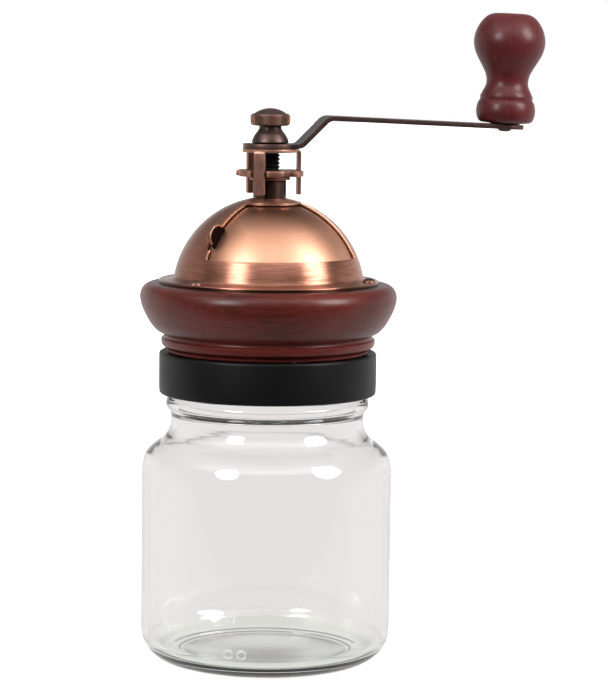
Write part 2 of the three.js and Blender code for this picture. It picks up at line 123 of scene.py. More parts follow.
class Wire:  # a socket that sums can be written on
    def __init__(self, tree, socket):
        self.tree = tree
        self.socket = socket

    def math(self, operation, *others, flip=False, clamp=False):
        made = self.tree.nodes.new("ShaderNodeMath")
        made.operation = operation
        made.use_clamp = clamp
        values = [*others, self] if flip else [self, *others]
        for socket, value in zip(made.inputs, values):
            plug(self.tree, socket, value)
        return Wire(self.tree, made.outputs[0])

    def __add__(self, other):
        return self.math("ADD", other)

    def __sub__(self, other):
        return self.math("SUBTRACT", other)

    def __rsub__(self, other):
        return self.math("SUBTRACT", other, flip=True)

    def __mul__(self, other):
        return self.math("MULTIPLY", other)

    def __truediv__(self, other):
        return self.math("DIVIDE", other)

    def __rtruediv__(self, other):
        return self.math("DIVIDE", other, flip=True)

    def ramp(self, start, end):  # 0 at start, 1 at end
        return ((self - start) * (1 / (end - start))).math("ADD", 0.0, clamp=True)

    __radd__ = __add__
    __rmul__ = __mul__


def plug(tree, socket, value):
    if isinstance(value, Wire):
        tree.links.new(value.socket, socket)
    elif isinstance(value, (tuple, list)) and len(value) == 3 and socket.type == "RGBA":
        socket.default_value = (*value, 1)
    else:
        socket.default_value = value


class Nodes:  # any node tree, with one method that adds a node
    def __init__(self, tree):
        self.tree = tree

    def add(self, kind, settings=None, values=None, output=0):
        made = self.tree.nodes.new(kind)
        for name, value in (settings or {}).items():
            setattr(made, name, value)
        for name, value in (values or {}).items():
            plug(self.tree, made.inputs[name], value)
        return Wire(self.tree, made.outputs[output])

    def axes(self, place):
        split = self.tree.nodes.new("ShaderNodeSeparateXYZ")
        plug(self.tree, split.inputs[0], place)
        return [Wire(self.tree, socket) for socket in split.outputs]


class Finish(Nodes):  # a material with the nodes that every finish uses
    def __init__(self, name):
        self.material = bpy.data.materials.new(name)
        self.material.use_nodes = True
        super().__init__(self.material.node_tree)
        self.tree.nodes.clear()
        self.shader = self.tree.nodes.new("ShaderNodeBsdfPrincipled")
        self.output = self.tree.nodes.new("ShaderNodeOutputMaterial")
        self.tree.links.new(self.shader.outputs[0], self.output.inputs["Surface"])
        self.place = self.add("ShaderNodeTexCoord", output="Object")

    def axes(self, place=None):
        return super().axes(place or self.place)

    def reach(self):  # the distance from the upright axis
        x, y, _ = self.axes()
        return (x * x + y * y).math("SQRT")

    def point(self, x, y, z):
        return self.add("ShaderNodeCombineXYZ", None, {0: x, 1: y, 2: z})

    def turned(self, matrix):  # the place, moved into a piece's own axes
        turn = matrix.to_euler()
        settings = {"vector_type": "POINT"}
        values = {"Vector": self.place, "Location": matrix.translation, "Rotation": turn}
        return self.add("ShaderNodeMapping", settings, values)

    def noise(self, place, scale, detail=2.0, rough=0.5, warp=0.0):
        values = {"Vector": place, "Scale": scale, "Detail": detail, "Roughness": rough, "Distortion": warp}
        return self.add("ShaderNodeTexNoise", None, values)

    def blend(self, amount, first, second):
        return self.add("ShaderNodeMix", {"data_type": "RGBA"}, {0: amount, 6: first, 7: second}, 2)

    def bump(self, height, depth, strength=1.0, over=None):
        values = {"Height": height, "Distance": depth, "Strength": strength}
        if over:
            values["Normal"] = over
        return self.add("ShaderNodeBump", None, values)

    def shade(self, values):
        for name, value in values.items():
            plug(self.tree, self.shader.inputs[name], value)
        return self.material


def pastGlass(nodes):  # 1 for light that has come through the jar
    return nodes.add("ShaderNodeLightPath", output="Transmission Depth").math("MINIMUM", 1.0)


def lightStudio():
    world = bpy.data.worlds.new("studio")
    world.use_nodes = True
    bpy.context.scene.world = world
    nodes = Nodes(world.node_tree)
    nodes.tree.nodes.clear()
    x, y, z = nodes.axes(nodes.add("ShaderNodeTexCoord", output="Generated"))
    away = x * -toCamera.x + y * -toCamera.y  # 1 straight behind the mill, -1 towards the camera
    level = studio["room"] + away.ramp(-0.05, 0.6) * studio["backWall"]
    sweep = (1 - z.ramp(0.10, 0.38)) * away.ramp(-0.35, 0.15)
    level = level + sweep * studio["horizon"] + z.ramp(0.60, 0.86) * studio["overhead"]
    low, full, fade, end = studio["panelRise"]
    panel = z.ramp(low, full) * (1 - z.ramp(fade, end) * 0.75) * (0 - away).ramp(-0.15, 0.25)
    level = level + panel * studio["panel"]
    level = level.math("MAXIMUM", pastGlass(nodes) * studio["throughGlass"])
    seen = nodes.add("ShaderNodeLightPath", output="Is Camera Ray")
    room = nodes.add("ShaderNodeBackground", None, {"Color": (1.0, 0.985, 0.97), "Strength": level})
    plain = nodes.add("ShaderNodeBackground", None, {"Color": (1.0, 1.0, 1.0), "Strength": 1.0})
    both = nodes.add("ShaderNodeMixShader", None, {0: seen, 1: room, 2: plain})
    output = nodes.tree.nodes.new("ShaderNodeOutputWorld")
    nodes.tree.links.new(both.socket, output.inputs["Surface"])


def makeLamp(index, angle, lift, size, power):
    data = bpy.data.lights.new(f"softbox{index}", "AREA")
    data.shape = "ELLIPSE"
    data.size = size
    data.size_y = size * 1.15
    data.energy = power
    lamp = bpy.data.objects.new(data.name, data)
    bpy.context.scene.collection.objects.link(lamp)
    turn = math.radians(angle)
    rise = math.radians(lift)
    level = toCamera * math.cos(turn) + toRight * math.sin(turn)
    outward = level * math.cos(rise) + Vector((0, 0, math.sin(rise)))
    lamp.location = Vector((0, 0, 0.15)) + outward * studio["lampAway"]
    lamp.rotation_mode = "QUATERNION"
    lamp.rotation_quaternion = outward.to_track_quat("Z", "Y")


def makeFloor():
    half = studio["floorSize"] / 2
    data = bpy.data.meshes.new("floor")
    corners = [(-half, -half, 0), (half, -half, 0), (half, half, 0), (-half, half, 0)]
    data.from_pydata(corners, [], [(0, 1, 2, 3)])
    floor = bpy.data.objects.new("floor", data)
    bpy.context.scene.collection.objects.link(floor)
    finish = Finish("paleFloor")
    speck = finish.noise(finish.place, 30.0, 4.0)
    x, y, _ = finish.axes()
    reach = finish.reach()
    behind = (x * -toCamera.x + y * -toCamera.y).ramp(-0.24, -0.05)
    behind = behind.math("MAXIMUM", 1 - reach.ramp(0.07, 0.13))  # and bright under the jar
    far = reach.ramp(0.15, 0.9)
    paper = finish.blend(speck, (0.93, 0.93, 0.93), (0.95, 0.95, 0.95))
    finish.shade({"Base Color": paper, "Roughness": 0.9, "Specular IOR Level": 0.1})
    glow = finish.add("ShaderNodeEmission", None, {"Color": paper, "Strength": 0.62 + far * 0.45})
    surface = Wire(finish.tree, finish.shader.outputs[0])
    bright = finish.add("ShaderNodeAddShader", None, {0: surface, 1: glow})
    level = studio["nearFloor"] + behind * (studio["farFloor"] - studio["nearFloor"])
    level = level.math("MAXIMUM", pastGlass(finish) * studio["throughGlass"])
    dim = finish.add("ShaderNodeEmission", None, {"Color": (1.0, 0.98, 0.96), "Strength": level})
    seen = finish.add("ShaderNodeLightPath", output="Is Camera Ray")
    both = finish.add("ShaderNodeMixShader", None, {0: seen, 1: dim, 2: bright})
    plug(finish.tree, finish.output.inputs["Surface"], both)
    data.materials.append(finish.material)
    floor.location.z = -0.0001


lightStudio()
for index, lamp in enumerate(studio["lamps"]):
    makeLamp(index, *lamp)
makeFloor()
bpy.context.scene.view_settings.view_transform = "Standard"
print("studio")

# finishes

copper = (0.80, 0.43, 0.29)
copperWorn = (0.70, 0.335, 0.235)
copperDeep = (0.46, 0.19, 0.11)
bronze = (0.078, 0.050, 0.043)

# In the finishes' dictionaries places are metres, and angles are degrees round from the hopper door.

jarMark = {"angles": (-32.5, -26.4), "height": 0.0110, "radius": 0.0016, "wall": 0.049}
jarGlass = {
    "clear": (0.975, 0.968, 0.971), "green": (0.88, 0.925, 0.875),
    "greenBase": (0.002, 0.012),
    "shoulder": (0.072, 0.076, 0.094, 0.099),  # where the glass is drawn in faint level waves
    "stipple": 0.15, "stippleReach": (0.026, 0.037), "stippleRise": (0.0023, 0.0028),
}


def clearGlass():
    finish = Finish("clearGlass")
    x, y, z = finish.axes()
    flow = finish.noise(finish.point(x, y, z * 0.4), 70.0, 2.0)
    thick = 1 - z.ramp(*jarGlass["greenBase"])
    tint = finish.blend(thick, jarGlass["clear"], jarGlass["green"])
    turn = x.math("ARCTAN2", y * -1.0) * jarMark["wall"]
    mark = z * 0.0
    for degrees in jarMark["angles"]:  # small raised rings on the heel
        side = turn - math.radians(degrees) * jarMark["wall"]
        up = z - jarMark["height"]
        off = ((side * side + up * up).math("SQRT") - jarMark["radius"]).math("ABSOLUTE")
        mark = mark + (1 - off.ramp(0.0001, 0.0004))
    reach = finish.reach()
    outside = reach.ramp(0.0465, 0.0475)
    start, full, fade, end = jarGlass["shoulder"]
    shoulder = z.ramp(start, full) * (1 - z.ramp(fade, end))
    drawn = finish.noise(finish.point(x * 0.12, y * 0.12, z * 2.4), 150.0, 1.0) * shoulder
    ripple = finish.bump(flow, 0.0002, 0.05)
    ripple = finish.bump(drawn, 0.0003, 0.22, ripple)
    ripple = finish.bump(mark * outside, 0.00025, 0.8, ripple)
    under = (1 - z.ramp(*jarGlass["stippleRise"])) * (1 - reach.ramp(*jarGlass["stippleReach"]))
    rough = flow * 0.02 + under * jarGlass["stipple"]
    values = {"Base Color": tint, "Roughness": rough, "Transmission Weight": 1.0, "IOR": 1.5}
    return finish.shade({**values, "Normal": ripple})


def satinPlastic():
    finish = Finish("satinPlastic")
    grain = finish.noise(finish.place, 2600.0, 2.0)
    cloud = finish.noise(finish.place, 60.0, 3.0)
    paint = finish.blend(cloud, (0.0022, 0.0022, 0.0027), (0.0045, 0.0045, 0.0054))
    return finish.shade(
        {
            "Base Color": paint,
            "Roughness": 0.34 + cloud * 0.14,
            "Specular IOR Level": 0.2,
            "Normal": finish.bump(grain, 0.00003, 0.4),
        }
    )


ringTone = {
    "deep": (0.042, 0.0045, 0.0032), "body": (0.115, 0.0135, 0.0085),
    "streak": (0.145, 0.027, 0.015), "pore": (0.018, 0.0027, 0.0018),
    # the last key is how far out the painted contact shadow round the dome's flange reaches, in metres
    "stripe": 0.5, "rough": 0.32, "coat": 0.14, "flangeShadow": 0.0475,
}
knobTone = {
    "deep": (0.058, 0.0075, 0.0085), "body": (0.120, 0.0155, 0.0165),
    "streak": (0.17, 0.026, 0.029), "pore": (0.045, 0.0055, 0.0065),
    "stripe": 0.35, "rough": 0.36, "coat": 0.12, "flangeShadow": 0.0,
}


def mahogany(name, matrix, tone):  # long grain runs along X of the given axes
    finish = Finish(name)
    place = finish.turned(matrix)
    x, y, z = finish.axes(place)
    drift = finish.noise(finish.point(x * 0.25, y, z), 60.0, 3.0, 0.55)
    streak = finish.noise(finish.point(x * 0.06, y + drift * 0.004, z + drift * 0.004), 900.0, 4.0, 0.6)
    fleck = finish.noise(finish.point(x * 0.05, y, z), 2600.0, 2.0, 0.5)
    pores = fleck.ramp(0.60, 0.70)
    cloud = finish.noise(finish.point(x * 0.6, y, z), 45.0, 3.0)
    body = finish.blend(cloud.ramp(0.3, 0.7), tone["deep"], tone["body"])
    grained = finish.blend(streak.ramp(0.42, 0.72) * tone["stripe"], body, tone["streak"])
    dark = finish.blend(pores * 0.55, grained, tone["pore"])
    if tone["flangeShadow"]:  # painted contact shadow on top, round the dome's flange
        near = 1 - finish.reach().ramp(tone["flangeShadow"] - 0.0025, tone["flangeShadow"])
        above = finish.axes()[2].ramp(0.1465, 0.1475)
        dark = finish.blend(near * above * 0.9, dark, tone["pore"])
    relief = finish.bump(streak * 0.4 - pores * 0.6, 0.00006, 0.35)
    return finish.shade(
        {
            "Base Color": dark,
            "Roughness": tone["rough"] + streak * 0.12,
            "Specular IOR Level": 0.24,
            "Coat Weight": tone["coat"] + cloud * 0.12,
            "Coat Roughness": 0.22,
            "Normal": relief,
        }
    )


def brushLines(finish, centre, length, pitch):  # streaks round the axis, on a ball about a height
    x, y, z = finish.axes()
    r = finish.reach().math("MAXIMUM", 0.0005)
    up = (z - centre).math("ARCTAN2", r) * 0.0375
    return finish.noise(finish.point(x / r * length, y / r * length, up), pitch, 3.0, 0.7)


domeLook = {
    "band": (0.152, 0.1635),  # the brushed lines are darkest below the window
    "cut": (0.153, 0.155),  # painted highlight on the window's cut edge
    "rim": (0.1490, 0.14925),  # painted shade on the flange's edge
    "shade": (-178, -150, -95, -62),  # painted shade on the left
    # colours: painted shade on the left, painted highlight on the cut edge, painted shade on the flange's
    # edge
    "tarnishAndShade": (0.12, 0.042, 0.028), "bright": (0.90, 0.60, 0.44), "rimShade": (0.055, 0.026, 0.019),
}


def brushedCopper(centre):
    finish = Finish("brushedCopper")
    fineLines = brushLines(finish, centre, 0.0011, 5200.0)
    coarseLines = brushLines(finish, centre, 0.0024, 1500.0)
    cloud = finish.noise(finish.place, 42.0, 3.0, 0.55)
    x, y, z = finish.axes()
    lowBand = 1 - z.ramp(*domeLook["band"])
    dark = (coarseLines * 0.55 + fineLines * 0.45).ramp(0.36, 0.66)
    worn = finish.blend(dark * (0.5 + lowBand * 0.5), copperWorn, (0.27, 0.10, 0.060))
    tarnishAndShade = finish.blend(cloud.ramp(0.35, 0.8) * 0.5, worn, (0.20, 0.072, 0.044))
    spoke = finish.point(x, y, z - centre)
    outward = finish.add("ShaderNodeVectorMath", {"operation": "NORMALIZE"}, {0: spoke})
    face = finish.add("ShaderNodeNewGeometry", output="True Normal")
    settings = {"operation": "DOT_PRODUCT"}
    facing = finish.add("ShaderNodeVectorMath", settings, {0: outward, 1: face}, "Value")
    # painted highlight along the window's cut edge
    cut = (1 - facing.math("ABSOLUTE").ramp(0.55, 0.93)) * z.ramp(*domeLook["cut"])
    # painted shade on the dome's left side
    side = x.math("ARCTAN2", y * -1.0)
    start, full, fade, end = [math.radians(a) for a in domeLook["shade"]]
    shade = (1 - side.ramp(fade, end)) * side.ramp(start, full)
    shaded = finish.blend(shade * 0.65, tarnishAndShade, domeLook["tarnishAndShade"])
    wearAndGlint = finish.blend(cut * 0.9, shaded, domeLook["bright"])
    # painted shade on the flange's edge, towards the wood
    rim = 1 - z.ramp(*domeLook["rim"])
    paint = finish.blend(rim * 0.9, wearAndGlint, domeLook["rimShade"])
    return finish.shade(
        {
            "Base Color": paint,
            "Metallic": 1.0,
            "Roughness": 0.28 + fineLines * 0.14,
            "Anisotropic": 0.85,
            "Anisotropic Rotation": 0.25,
            "Normal": finish.bump(fineLines * 0.6 + coarseLines * 0.4, 0.00003, 0.45),
        }
    )


# the door is darker along its left edge, a painted reflection of the dark tab, and darker towards its top
# edge
doorLook = {"left": (-62, -34), "top": (0.1690, 0.1775), "doorEdgeDark": (0.13, 0.055, 0.038)}


def satinCopper(centre):
    finish = Finish("satinCopper")
    lines = brushLines(finish, centre, 0.0016, 3000.0)
    cloud = finish.noise(finish.place, 70.0, 4.0, 0.6)
    broad = finish.noise(finish.place, 28.0, 2.0, 0.5)
    base = finish.blend(broad.ramp(0.35, 0.7) * 0.45, copper, (0.62, 0.30, 0.18))
    base = finish.blend(cloud.ramp(0.5, 0.8) * 0.3, base, copperDeep)
    x, y, z = finish.axes()
    # darker along the left edge, a painted reflection of the dark tab, and darker towards the top edge
    start, end = [math.radians(a) for a in doorLook["left"]]
    leftEdge = 1 - x.math("ARCTAN2", y * -1.0).ramp(start, end)
    topEdge = z.ramp(*doorLook["top"])
    doorEdgeDark = ((leftEdge * 0.9).math("MAXIMUM", topEdge) * (0.35 + broad)).math("MINIMUM", 0.85)
    base = finish.blend(doorEdgeDark, base, doorLook["doorEdgeDark"])
    return finish.shade(
        {
            "Base Color": base,
            "Metallic": 1.0,
            "Roughness": 0.38 + cloud * 0.08 + lines * 0.05,
            "Anisotropic": 0.2,
            "Anisotropic Rotation": 0.25,
            "Normal": finish.bump(lines, 0.00002, 0.25),
        }
    )


def agedCopper(name, dark, shine, rough=0.36):  # dark plate, rubbed through to copper along its edges
    finish = Finish(name)
    edge = finish.add("ShaderNodeNewGeometry", output="Pointiness").ramp(0.512, 0.56)
    speck = finish.noise(finish.place, 2400.0, 3.0, 0.6)
    cloud = finish.noise(finish.place, 220.0, 3.0, 0.55)
    body = finish.blend(cloud.ramp(0.3, 0.75), dark, [c * 1.7 for c in dark])
    wearAndGlint = finish.blend(edge * (0.35 + speck * 0.65), body, shine)
    return finish.shade(
        {
            "Base Color": wearAndGlint,
            "Metallic": 0.92,
            "Roughness": rough + speck * 0.12,
            "Normal": finish.bump(speck, 0.00002, 0.5),
        }
    )


def neckCopper():  # a dark tube on a bright copper flange
    finish = Finish("neckCopper")
    z = finish.axes()[2]
    speck = finish.noise(finish.place, 1500.0, 3.0, 0.6)
    cloud = finish.noise(finish.place, 160.0, 3.0)
    flange = 1 - z.ramp(0.1779, 0.1788)
    tubePaint = finish.blend(cloud, (0.050, 0.028, 0.024), (0.10, 0.056, 0.045))
    paint = finish.blend(flange, tubePaint, copperWorn)
    values = {"Base Color": paint, "Metallic": 1.0, "Roughness": 0.26 + speck * 0.14}
    return finish.shade({**values, "Normal": finish.bump(speck, 0.00002, 0.4)})


def plainMetal(name, paint, rough, grain, depth):
    finish = Finish(name)
    speck = finish.noise(finish.place, grain, 3.0, 0.6)
    cloud = finish.noise(finish.place, 130.0, 2.0)
    body = finish.blend(cloud, paint, [c * 0.7 for c in paint])
    return finish.shade(
        {
            "Base Color": body,
            "Metallic": 1.0,
            "Roughness": rough + speck * 0.15,
            "Normal": finish.bump(speck, depth, 0.5),
        }
    )


def sealRubber():
    finish = Finish("sealRubber")
    speck = finish.noise(finish.place, 1800.0, 2.0)
    paint = finish.blend(speck, (0.62, 0.60, 0.55), (0.72, 0.70, 0.66))
    relief = finish.bump(speck, 0.00003, 0.4)
    return finish.shade({"Base Color": paint, "Roughness": 0.65, "Normal": relief})


jointNamed = {joint["name"]: joint for joint in frame["joints"]}
knobJoint = jointNamed["knob_spin"]
knobSeat = Vector(knobJoint["pos_m"])
crankTurn = math.atan2(knobSeat.y, knobSeat.x)
knobLean = Vector((0, 0, 1)).rotation_difference(Vector(knobJoint["axis"])).to_matrix().to_4x4()
knobFrame = Matrix.Translation(knobSeat) @ knobLean
crankFrame = Matrix.Rotation(crankTurn, 4, "Z")
ballCentre = 0.1443

finishes = {
    "glass": clearGlass(),
    "plastic": satinPlastic(),
    "ringWood": mahogany("ringMahogany", Matrix.Rotation(0.3, 4, "Z"), ringTone),
    "knobWood": mahogany("knobMahogany", Matrix.Rotation(math.pi / 2, 4, "Y"), knobTone),
    "dome": brushedCopper(ballCentre),
    "door": satinCopper(ballCentre),
    "hardware": agedCopper("agedCopper", bronze, (0.42, 0.21, 0.15)),
    "arm": agedCopper("armCopper", (0.048, 0.034, 0.033), (0.30, 0.155, 0.12)),
    "leg": agedCopper("rubbedCopper", (0.155, 0.076, 0.060), (0.66, 0.34, 0.24)),
    "neck": neckCopper(),
    # the tab's face, near-black: painted shade
    "tab": plainMetal("smokedCopper", (0.012, 0.007, 0.006), 0.5, 1500.0, 0.00002),
    # a bright band round the tab's nose: painted highlight
    "tabEdge": plainMetal("wornEdge", (0.72, 0.40, 0.28), 0.3, 1500.0, 0.00002),
    "rod": agedCopper("blackRod", (0.012, 0.010, 0.010), (0.05, 0.04, 0.04), 0.42),
    "steel": plainMetal("turnedSteel", (0.42, 0.42, 0.43), 0.28, 1500.0, 0.00002),
    "iron": plainMetal("burrIron", (0.13, 0.13, 0.14), 0.40, 900.0, 0.00006),
    "bush": plainMetal("bearingBronze", (0.55, 0.36, 0.18), 0.30, 1200.0, 0.00002),
    "rubber": sealRubber(),
}
print("finishes")

# mesh tools


def roundedLine(corners, steps=4, closed=True):  # (radius, height, fillet) corners to a smooth line
    line = []
    count = len(corners)
    for i, (r, z, *fillet) in enumerate(corners):
        size = fillet[0] if fillet else 0
        ends = not closed and i in (0, count - 1)
        if size == 0 or ends:
            line.append((r, z))
            continue
        here = Vector((r, z))
        before = Vector(corners[i - 1][:2]) - here
        after = Vector(corners[(i + 1) % count][:2]) - here
        start = here + before.normalized() * min(size, before.length * 0.48)
        end = here + after.normalized() * min(size, after.length * 0.48)
        for k in range(steps + 1):
            t = k / steps
            spot = start * (1 - t) ** 2 + here * 2 * t * (1 - t) + end * t**2
            line.append((spot.x, spot.y))
    return line


def flowing(points, steps=5):  # a smooth line through all the points
    line = []
    last = len(points) - 1
    for i in range(last):
        p0, p1 = Vector(points[max(i - 1, 0)]), Vector(points[i])
        p2, p3 = Vector(points[i + 1]), Vector(points[min(i + 2, last)])
        for k in range(steps):
            t = k / steps
            spot = p1 * 2 + (p2 - p0) * t + (p0 * 2 - p1 * 5 + p2 * 4 - p3) * t * t
            spot += (p1 * 3 - p0 - p2 * 3 + p3) * t**3
            line.append((spot.x / 2, spot.y / 2))
    line.append(tuple(points[-1]))
    return line


def bow(cx, cz, r, start, end, steps):  # points of an arc, in degrees
    turns = [math.radians(start + (end - start) * k / steps) for k in range(steps + 1)]
    return [(cx + r * math.cos(a), cz + r * math.sin(a)) for a in turns]


def newObject(name, mesh):
    piece = bpy.data.objects.new(name, mesh)
    bpy.context.scene.collection.objects.link(piece)
    return piece


def tidyMesh(mesh, outward=True, weld=1e-7):
    shape = bmesh.new()
    shape.from_mesh(mesh)
    bmesh.ops.remove_doubles(shape, verts=shape.verts, dist=weld)
    if outward:
        bmesh.ops.recalc_face_normals(shape, faces=shape.faces)
    shape.to_mesh(mesh)
    shape.free()


def turnedObject(name, line, sides=96, swell=None):  # a line of (radius, height) spun about Z
    spots, rows = [], []
    onAxis = line[0][0] < 1e-6
    for r, z in line:
        row = []
        for k in range(1 if r < 1e-6 else sides):
            a = 2 * math.pi * k / sides
            reach = r + (swell(a, r, z) if swell and r > 1e-6 else 0)
            row.append(len(spots))
            spots.append((reach * math.cos(a) * mm, reach * math.sin(a) * mm, z * mm))
        rows.append(row)
    pairs = list(zip(rows, rows[1:]))
    if not onAxis:
        pairs.append((rows[-1], rows[0]))
    faces = []
    for below, above in pairs:
        for k in range(sides):
            n = (k + 1) % sides
            if len(below) == 1 and len(above) == 1:
                break
            if len(below) == 1:
                faces.append((below[0], above[n], above[k]))
            elif len(above) == 1:
                faces.append((below[k], below[n], above[0]))
            else:
                faces.append((below[k], below[n], above[n], above[k]))
    mesh = bpy.data.meshes.new(name)
    mesh.from_pydata(spots, [], faces)
    tidyMesh(mesh)
    return newObject(name, mesh)


def washerObject(name, inner, outer, low, high, edge=0.3, sides=64):
    corners = [(inner, low, 0.1), (outer, low, edge), (outer, high, edge), (inner, high, 0.1)]
    return turnedObject(name, roundedLine(corners), sides)


def plateObject(name, outlines, low, high, bevel=0.0, matrix=None):  # flat outlines, the first one filled
    curve = bpy.data.curves.new(name, "CURVE")
    curve.dimensions = "2D"
    curve.fill_mode = "BOTH"
    curve.extrude = (high - low) / 2 * mm - bevel * mm
    curve.bevel_depth = bevel * mm
    curve.bevel_resolution = 2
    curve.offset = -bevel * mm
    for outline in outlines:
        spline = curve.splines.new("POLY")
        spline.points.add(len(outline) - 1)
        for point, (x, y) in zip(spline.points, outline):
            point.co = (x * mm, y * mm, 0, 1)
        spline.use_cyclic_u = True
    drawn = newObject(name + "Outline", curve)
    piece = bake(drawn, name)
    lift = Matrix.Translation((0, 0, (low + high) / 2 * mm))
    tidyMesh(piece.data, weld=1e-6)
    shape = bmesh.new()
    shape.from_mesh(piece.data)
    caps = [face for face in shape.faces if abs(face.normal.z) > 0.999]
    bmesh.ops.inset_region(shape, faces=caps, thickness=0.4 * mm, use_even_offset=True)
    shape.to_mesh(piece.data)
    shape.free()
    piece.data.transform((matrix or Matrix.Identity(4)) @ lift)
    return piece


def bake(source, name):  # the object as its modifiers leave it, as a plain mesh
    bpy.context.view_layer.update()
    shown = source.evaluated_get(bpy.context.evaluated_depsgraph_get())
    mesh = bpy.data.meshes.new_from_object(shown)
    mesh.name = name
    bpy.data.objects.remove(source)
    return newObject(name, mesh)


def bevelled(piece, width, segments=2, angle=35):
    edge = piece.modifiers.new("edge", "BEVEL")
    edge.width = width * mm
    edge.segments = segments
    edge.limit_method = "ANGLE"
    edge.angle_limit = math.radians(angle)
    return bake(piece, piece.name.split(".")[0] + "Bevelled")


def ribbonObject(name, stations, thickness):  # a flat bar: (x, z, tilt, half width) along its upper face
    spots = []
    for x, z, tilt, half in stations:
        down = Vector((math.sin(tilt), 0, -math.cos(tilt))) * thickness
        inner = max(half * 0.4, half - 0.8)
        upper = [Vector((x, y, z)) for y in (-half, -inner, inner, half)]
        spots += [spot * mm for spot in upper] + [(spot + down) * mm for spot in reversed(upper)]
    faces = []
    for i in range(len(stations) - 1):
        for k in range(8):
            n = (k + 1) % 8
            faces.append((i * 8 + k, i * 8 + n, i * 8 + 8 + n, i * 8 + 8 + k))
    end = len(spots) - 8
    for k in range(3):
        faces.append((k, k + 1, 6 - k, 7 - k))
        faces.append((end + k, end + k + 1, end + 6 - k, end + 7 - k))
    mesh = bpy.data.meshes.new(name)
    mesh.from_pydata(spots, [], faces)
    tidyMesh(mesh)
    return newObject(name, mesh)


def settle(piece, name, finish, slot, body, *nodes, crease=32):  # the last step for every piece
    piece.name = name
    piece.data.name = name
    piece.data.materials.clear()
    piece.data.materials.append(finishes[finish])
    for face in piece.data.polygons:
        face.material_index = 0
    piece.data.shade_smooth()
    piece.data.set_sharp_from_angle(angle=math.radians(crease))
    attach(piece, body)
    if nodes:
        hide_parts(*nodes)
    return piece


# node trees for what repeats


class Grower(Nodes):  # a geometry tree with named inputs
    def __init__(self, name, inputs):
        tree = bpy.data.node_groups.new(name, "GeometryNodeTree")
        super().__init__(tree)
        tree.interface.new_socket("Geometry", in_out="INPUT", socket_type="NodeSocketGeometry")
        tree.interface.new_socket("Geometry", in_out="OUTPUT", socket_type="NodeSocketGeometry")
        for label, kind in inputs.items():
            tree.interface.new_socket(label, in_out="INPUT", socket_type="NodeSocket" + kind)
        self.source = tree.nodes.new("NodeGroupInput")
        self.result = tree.nodes.new("NodeGroupOutput")

    def given(self, label):
        return Wire(self.tree, self.source.outputs[label])

    def joined(self, *parts):
        made = self.tree.nodes.new("GeometryNodeJoinGeometry")
        for part in reversed(parts):
            self.tree.links.new(part.socket, made.inputs[0])
        return Wire(self.tree, made.outputs[0])

    def moved(self, shape, up=None, turn=None):  # lifted along Z, and turned about it
        values = {"Geometry": shape}
        if up:
            values["Translation"] = self.add("ShaderNodeCombineXYZ", None, {2: up})
        if turn:
            values["Rotation"] = self.add("ShaderNodeCombineXYZ", None, {2: turn})
        return self.add("GeometryNodeTransform", None, values)

    def close(self, shape):
        real = self.add("GeometryNodeRealizeInstances", None, {0: shape})
        values = {"Geometry": real, "Material": self.given("Finish")}
        painted = self.add("GeometryNodeSetMaterial", None, values)
        self.tree.links.new(painted.socket, self.result.inputs[0])

    def grow(self, name, values, start=None):
        piece = start or newObject(name, bpy.data.meshes.new(name))
        modifier = piece.modifiers.new("grow", "NODES")
        modifier.node_group = self.tree
        for item in self.tree.interface.items_tree:
            if item.in_out == "INPUT" and item.name in values:
                modifier[item.identifier] = values[item.name]
        return bake(piece, name)


def screwRing():  # dome-headed screws standing in a ring
    inputs = {
        "Count": "Int", "Ring Radius": "Float", "Seat Height": "Float", "First Angle": "Float",
        "Head Radius": "Float", "Head Height": "Float", "Shank Radius": "Float", "Shank Length": "Float",
        "Up": "Float", "Finish": "Material",
    }
    tree = Grower("screwRing", inputs)
    ball = tree.add("GeometryNodeMeshUVSphere", None, {"Segments": 40, "Rings": 24, "Radius": 1.0})
    x, y, z = tree.axes(tree.add("GeometryNodeInputPosition"))
    height = z.math("MAXIMUM", 0.0) * tree.given("Head Height") * tree.given("Up")
    wide = tree.given("Head Radius")
    spot = tree.add("ShaderNodeCombineXYZ", None, {0: x * wide, 1: y * wide, 2: height})
    head = tree.add("GeometryNodeSetPosition", None, {"Geometry": ball, "Position": spot})
    length = tree.given("Shank Length")
    values = {"Vertices": 24, "Radius": tree.given("Shank Radius"), "Depth": length}
    rod = tree.add("GeometryNodeMeshCylinder", None, values)
    shank = tree.moved(rod, length * -0.49 * tree.given("Up"))
    values = {"Vertices": tree.given("Count"), "Radius": tree.given("Ring Radius")}
    ring = tree.add("GeometryNodeMeshCircle", None, values)
    ring = tree.moved(ring, tree.given("Seat Height"), tree.given("First Angle"))
    values = {"Points": ring, "Instance": tree.joined(head, shank)}
    tree.close(tree.add("GeometryNodeInstanceOnPoints", None, values))
    return tree


def coil():  # a wire or a thread's ridge wound round the axis, added to what it is grown on
    inputs = {
        "Turns": "Float", "Radius": "Float", "Rise": "Float", "Start": "Float",
        "Section Radius": "Float", "Section Sides": "Int", "Finish": "Material",
    }
    tree = Grower("coil", inputs)
    values = {
        "Resolution": 48, "Rotations": tree.given("Turns"), "Start Radius": tree.given("Radius"),
        "End Radius": tree.given("Radius"), "Height": tree.given("Rise"),
    }
    path = tree.add("GeometryNodeCurveSpiral", None, values)
    path = tree.add("GeometryNodeSetCurveNormal", {"mode": "Z_UP"}, {0: path})
    values = {"Resolution": tree.given("Section Sides"), "Radius": tree.given("Section Radius")}
    section = tree.add("GeometryNodeCurvePrimitiveCircle", None, values)
    values = {"Curve": path, "Profile Curve": section, "Fill Caps": True}
    wire = tree.add("GeometryNodeCurveToMesh", None, values)
    tree.close(tree.joined(tree.given("Geometry"), tree.moved(wire, tree.given("Start"))))
    return tree


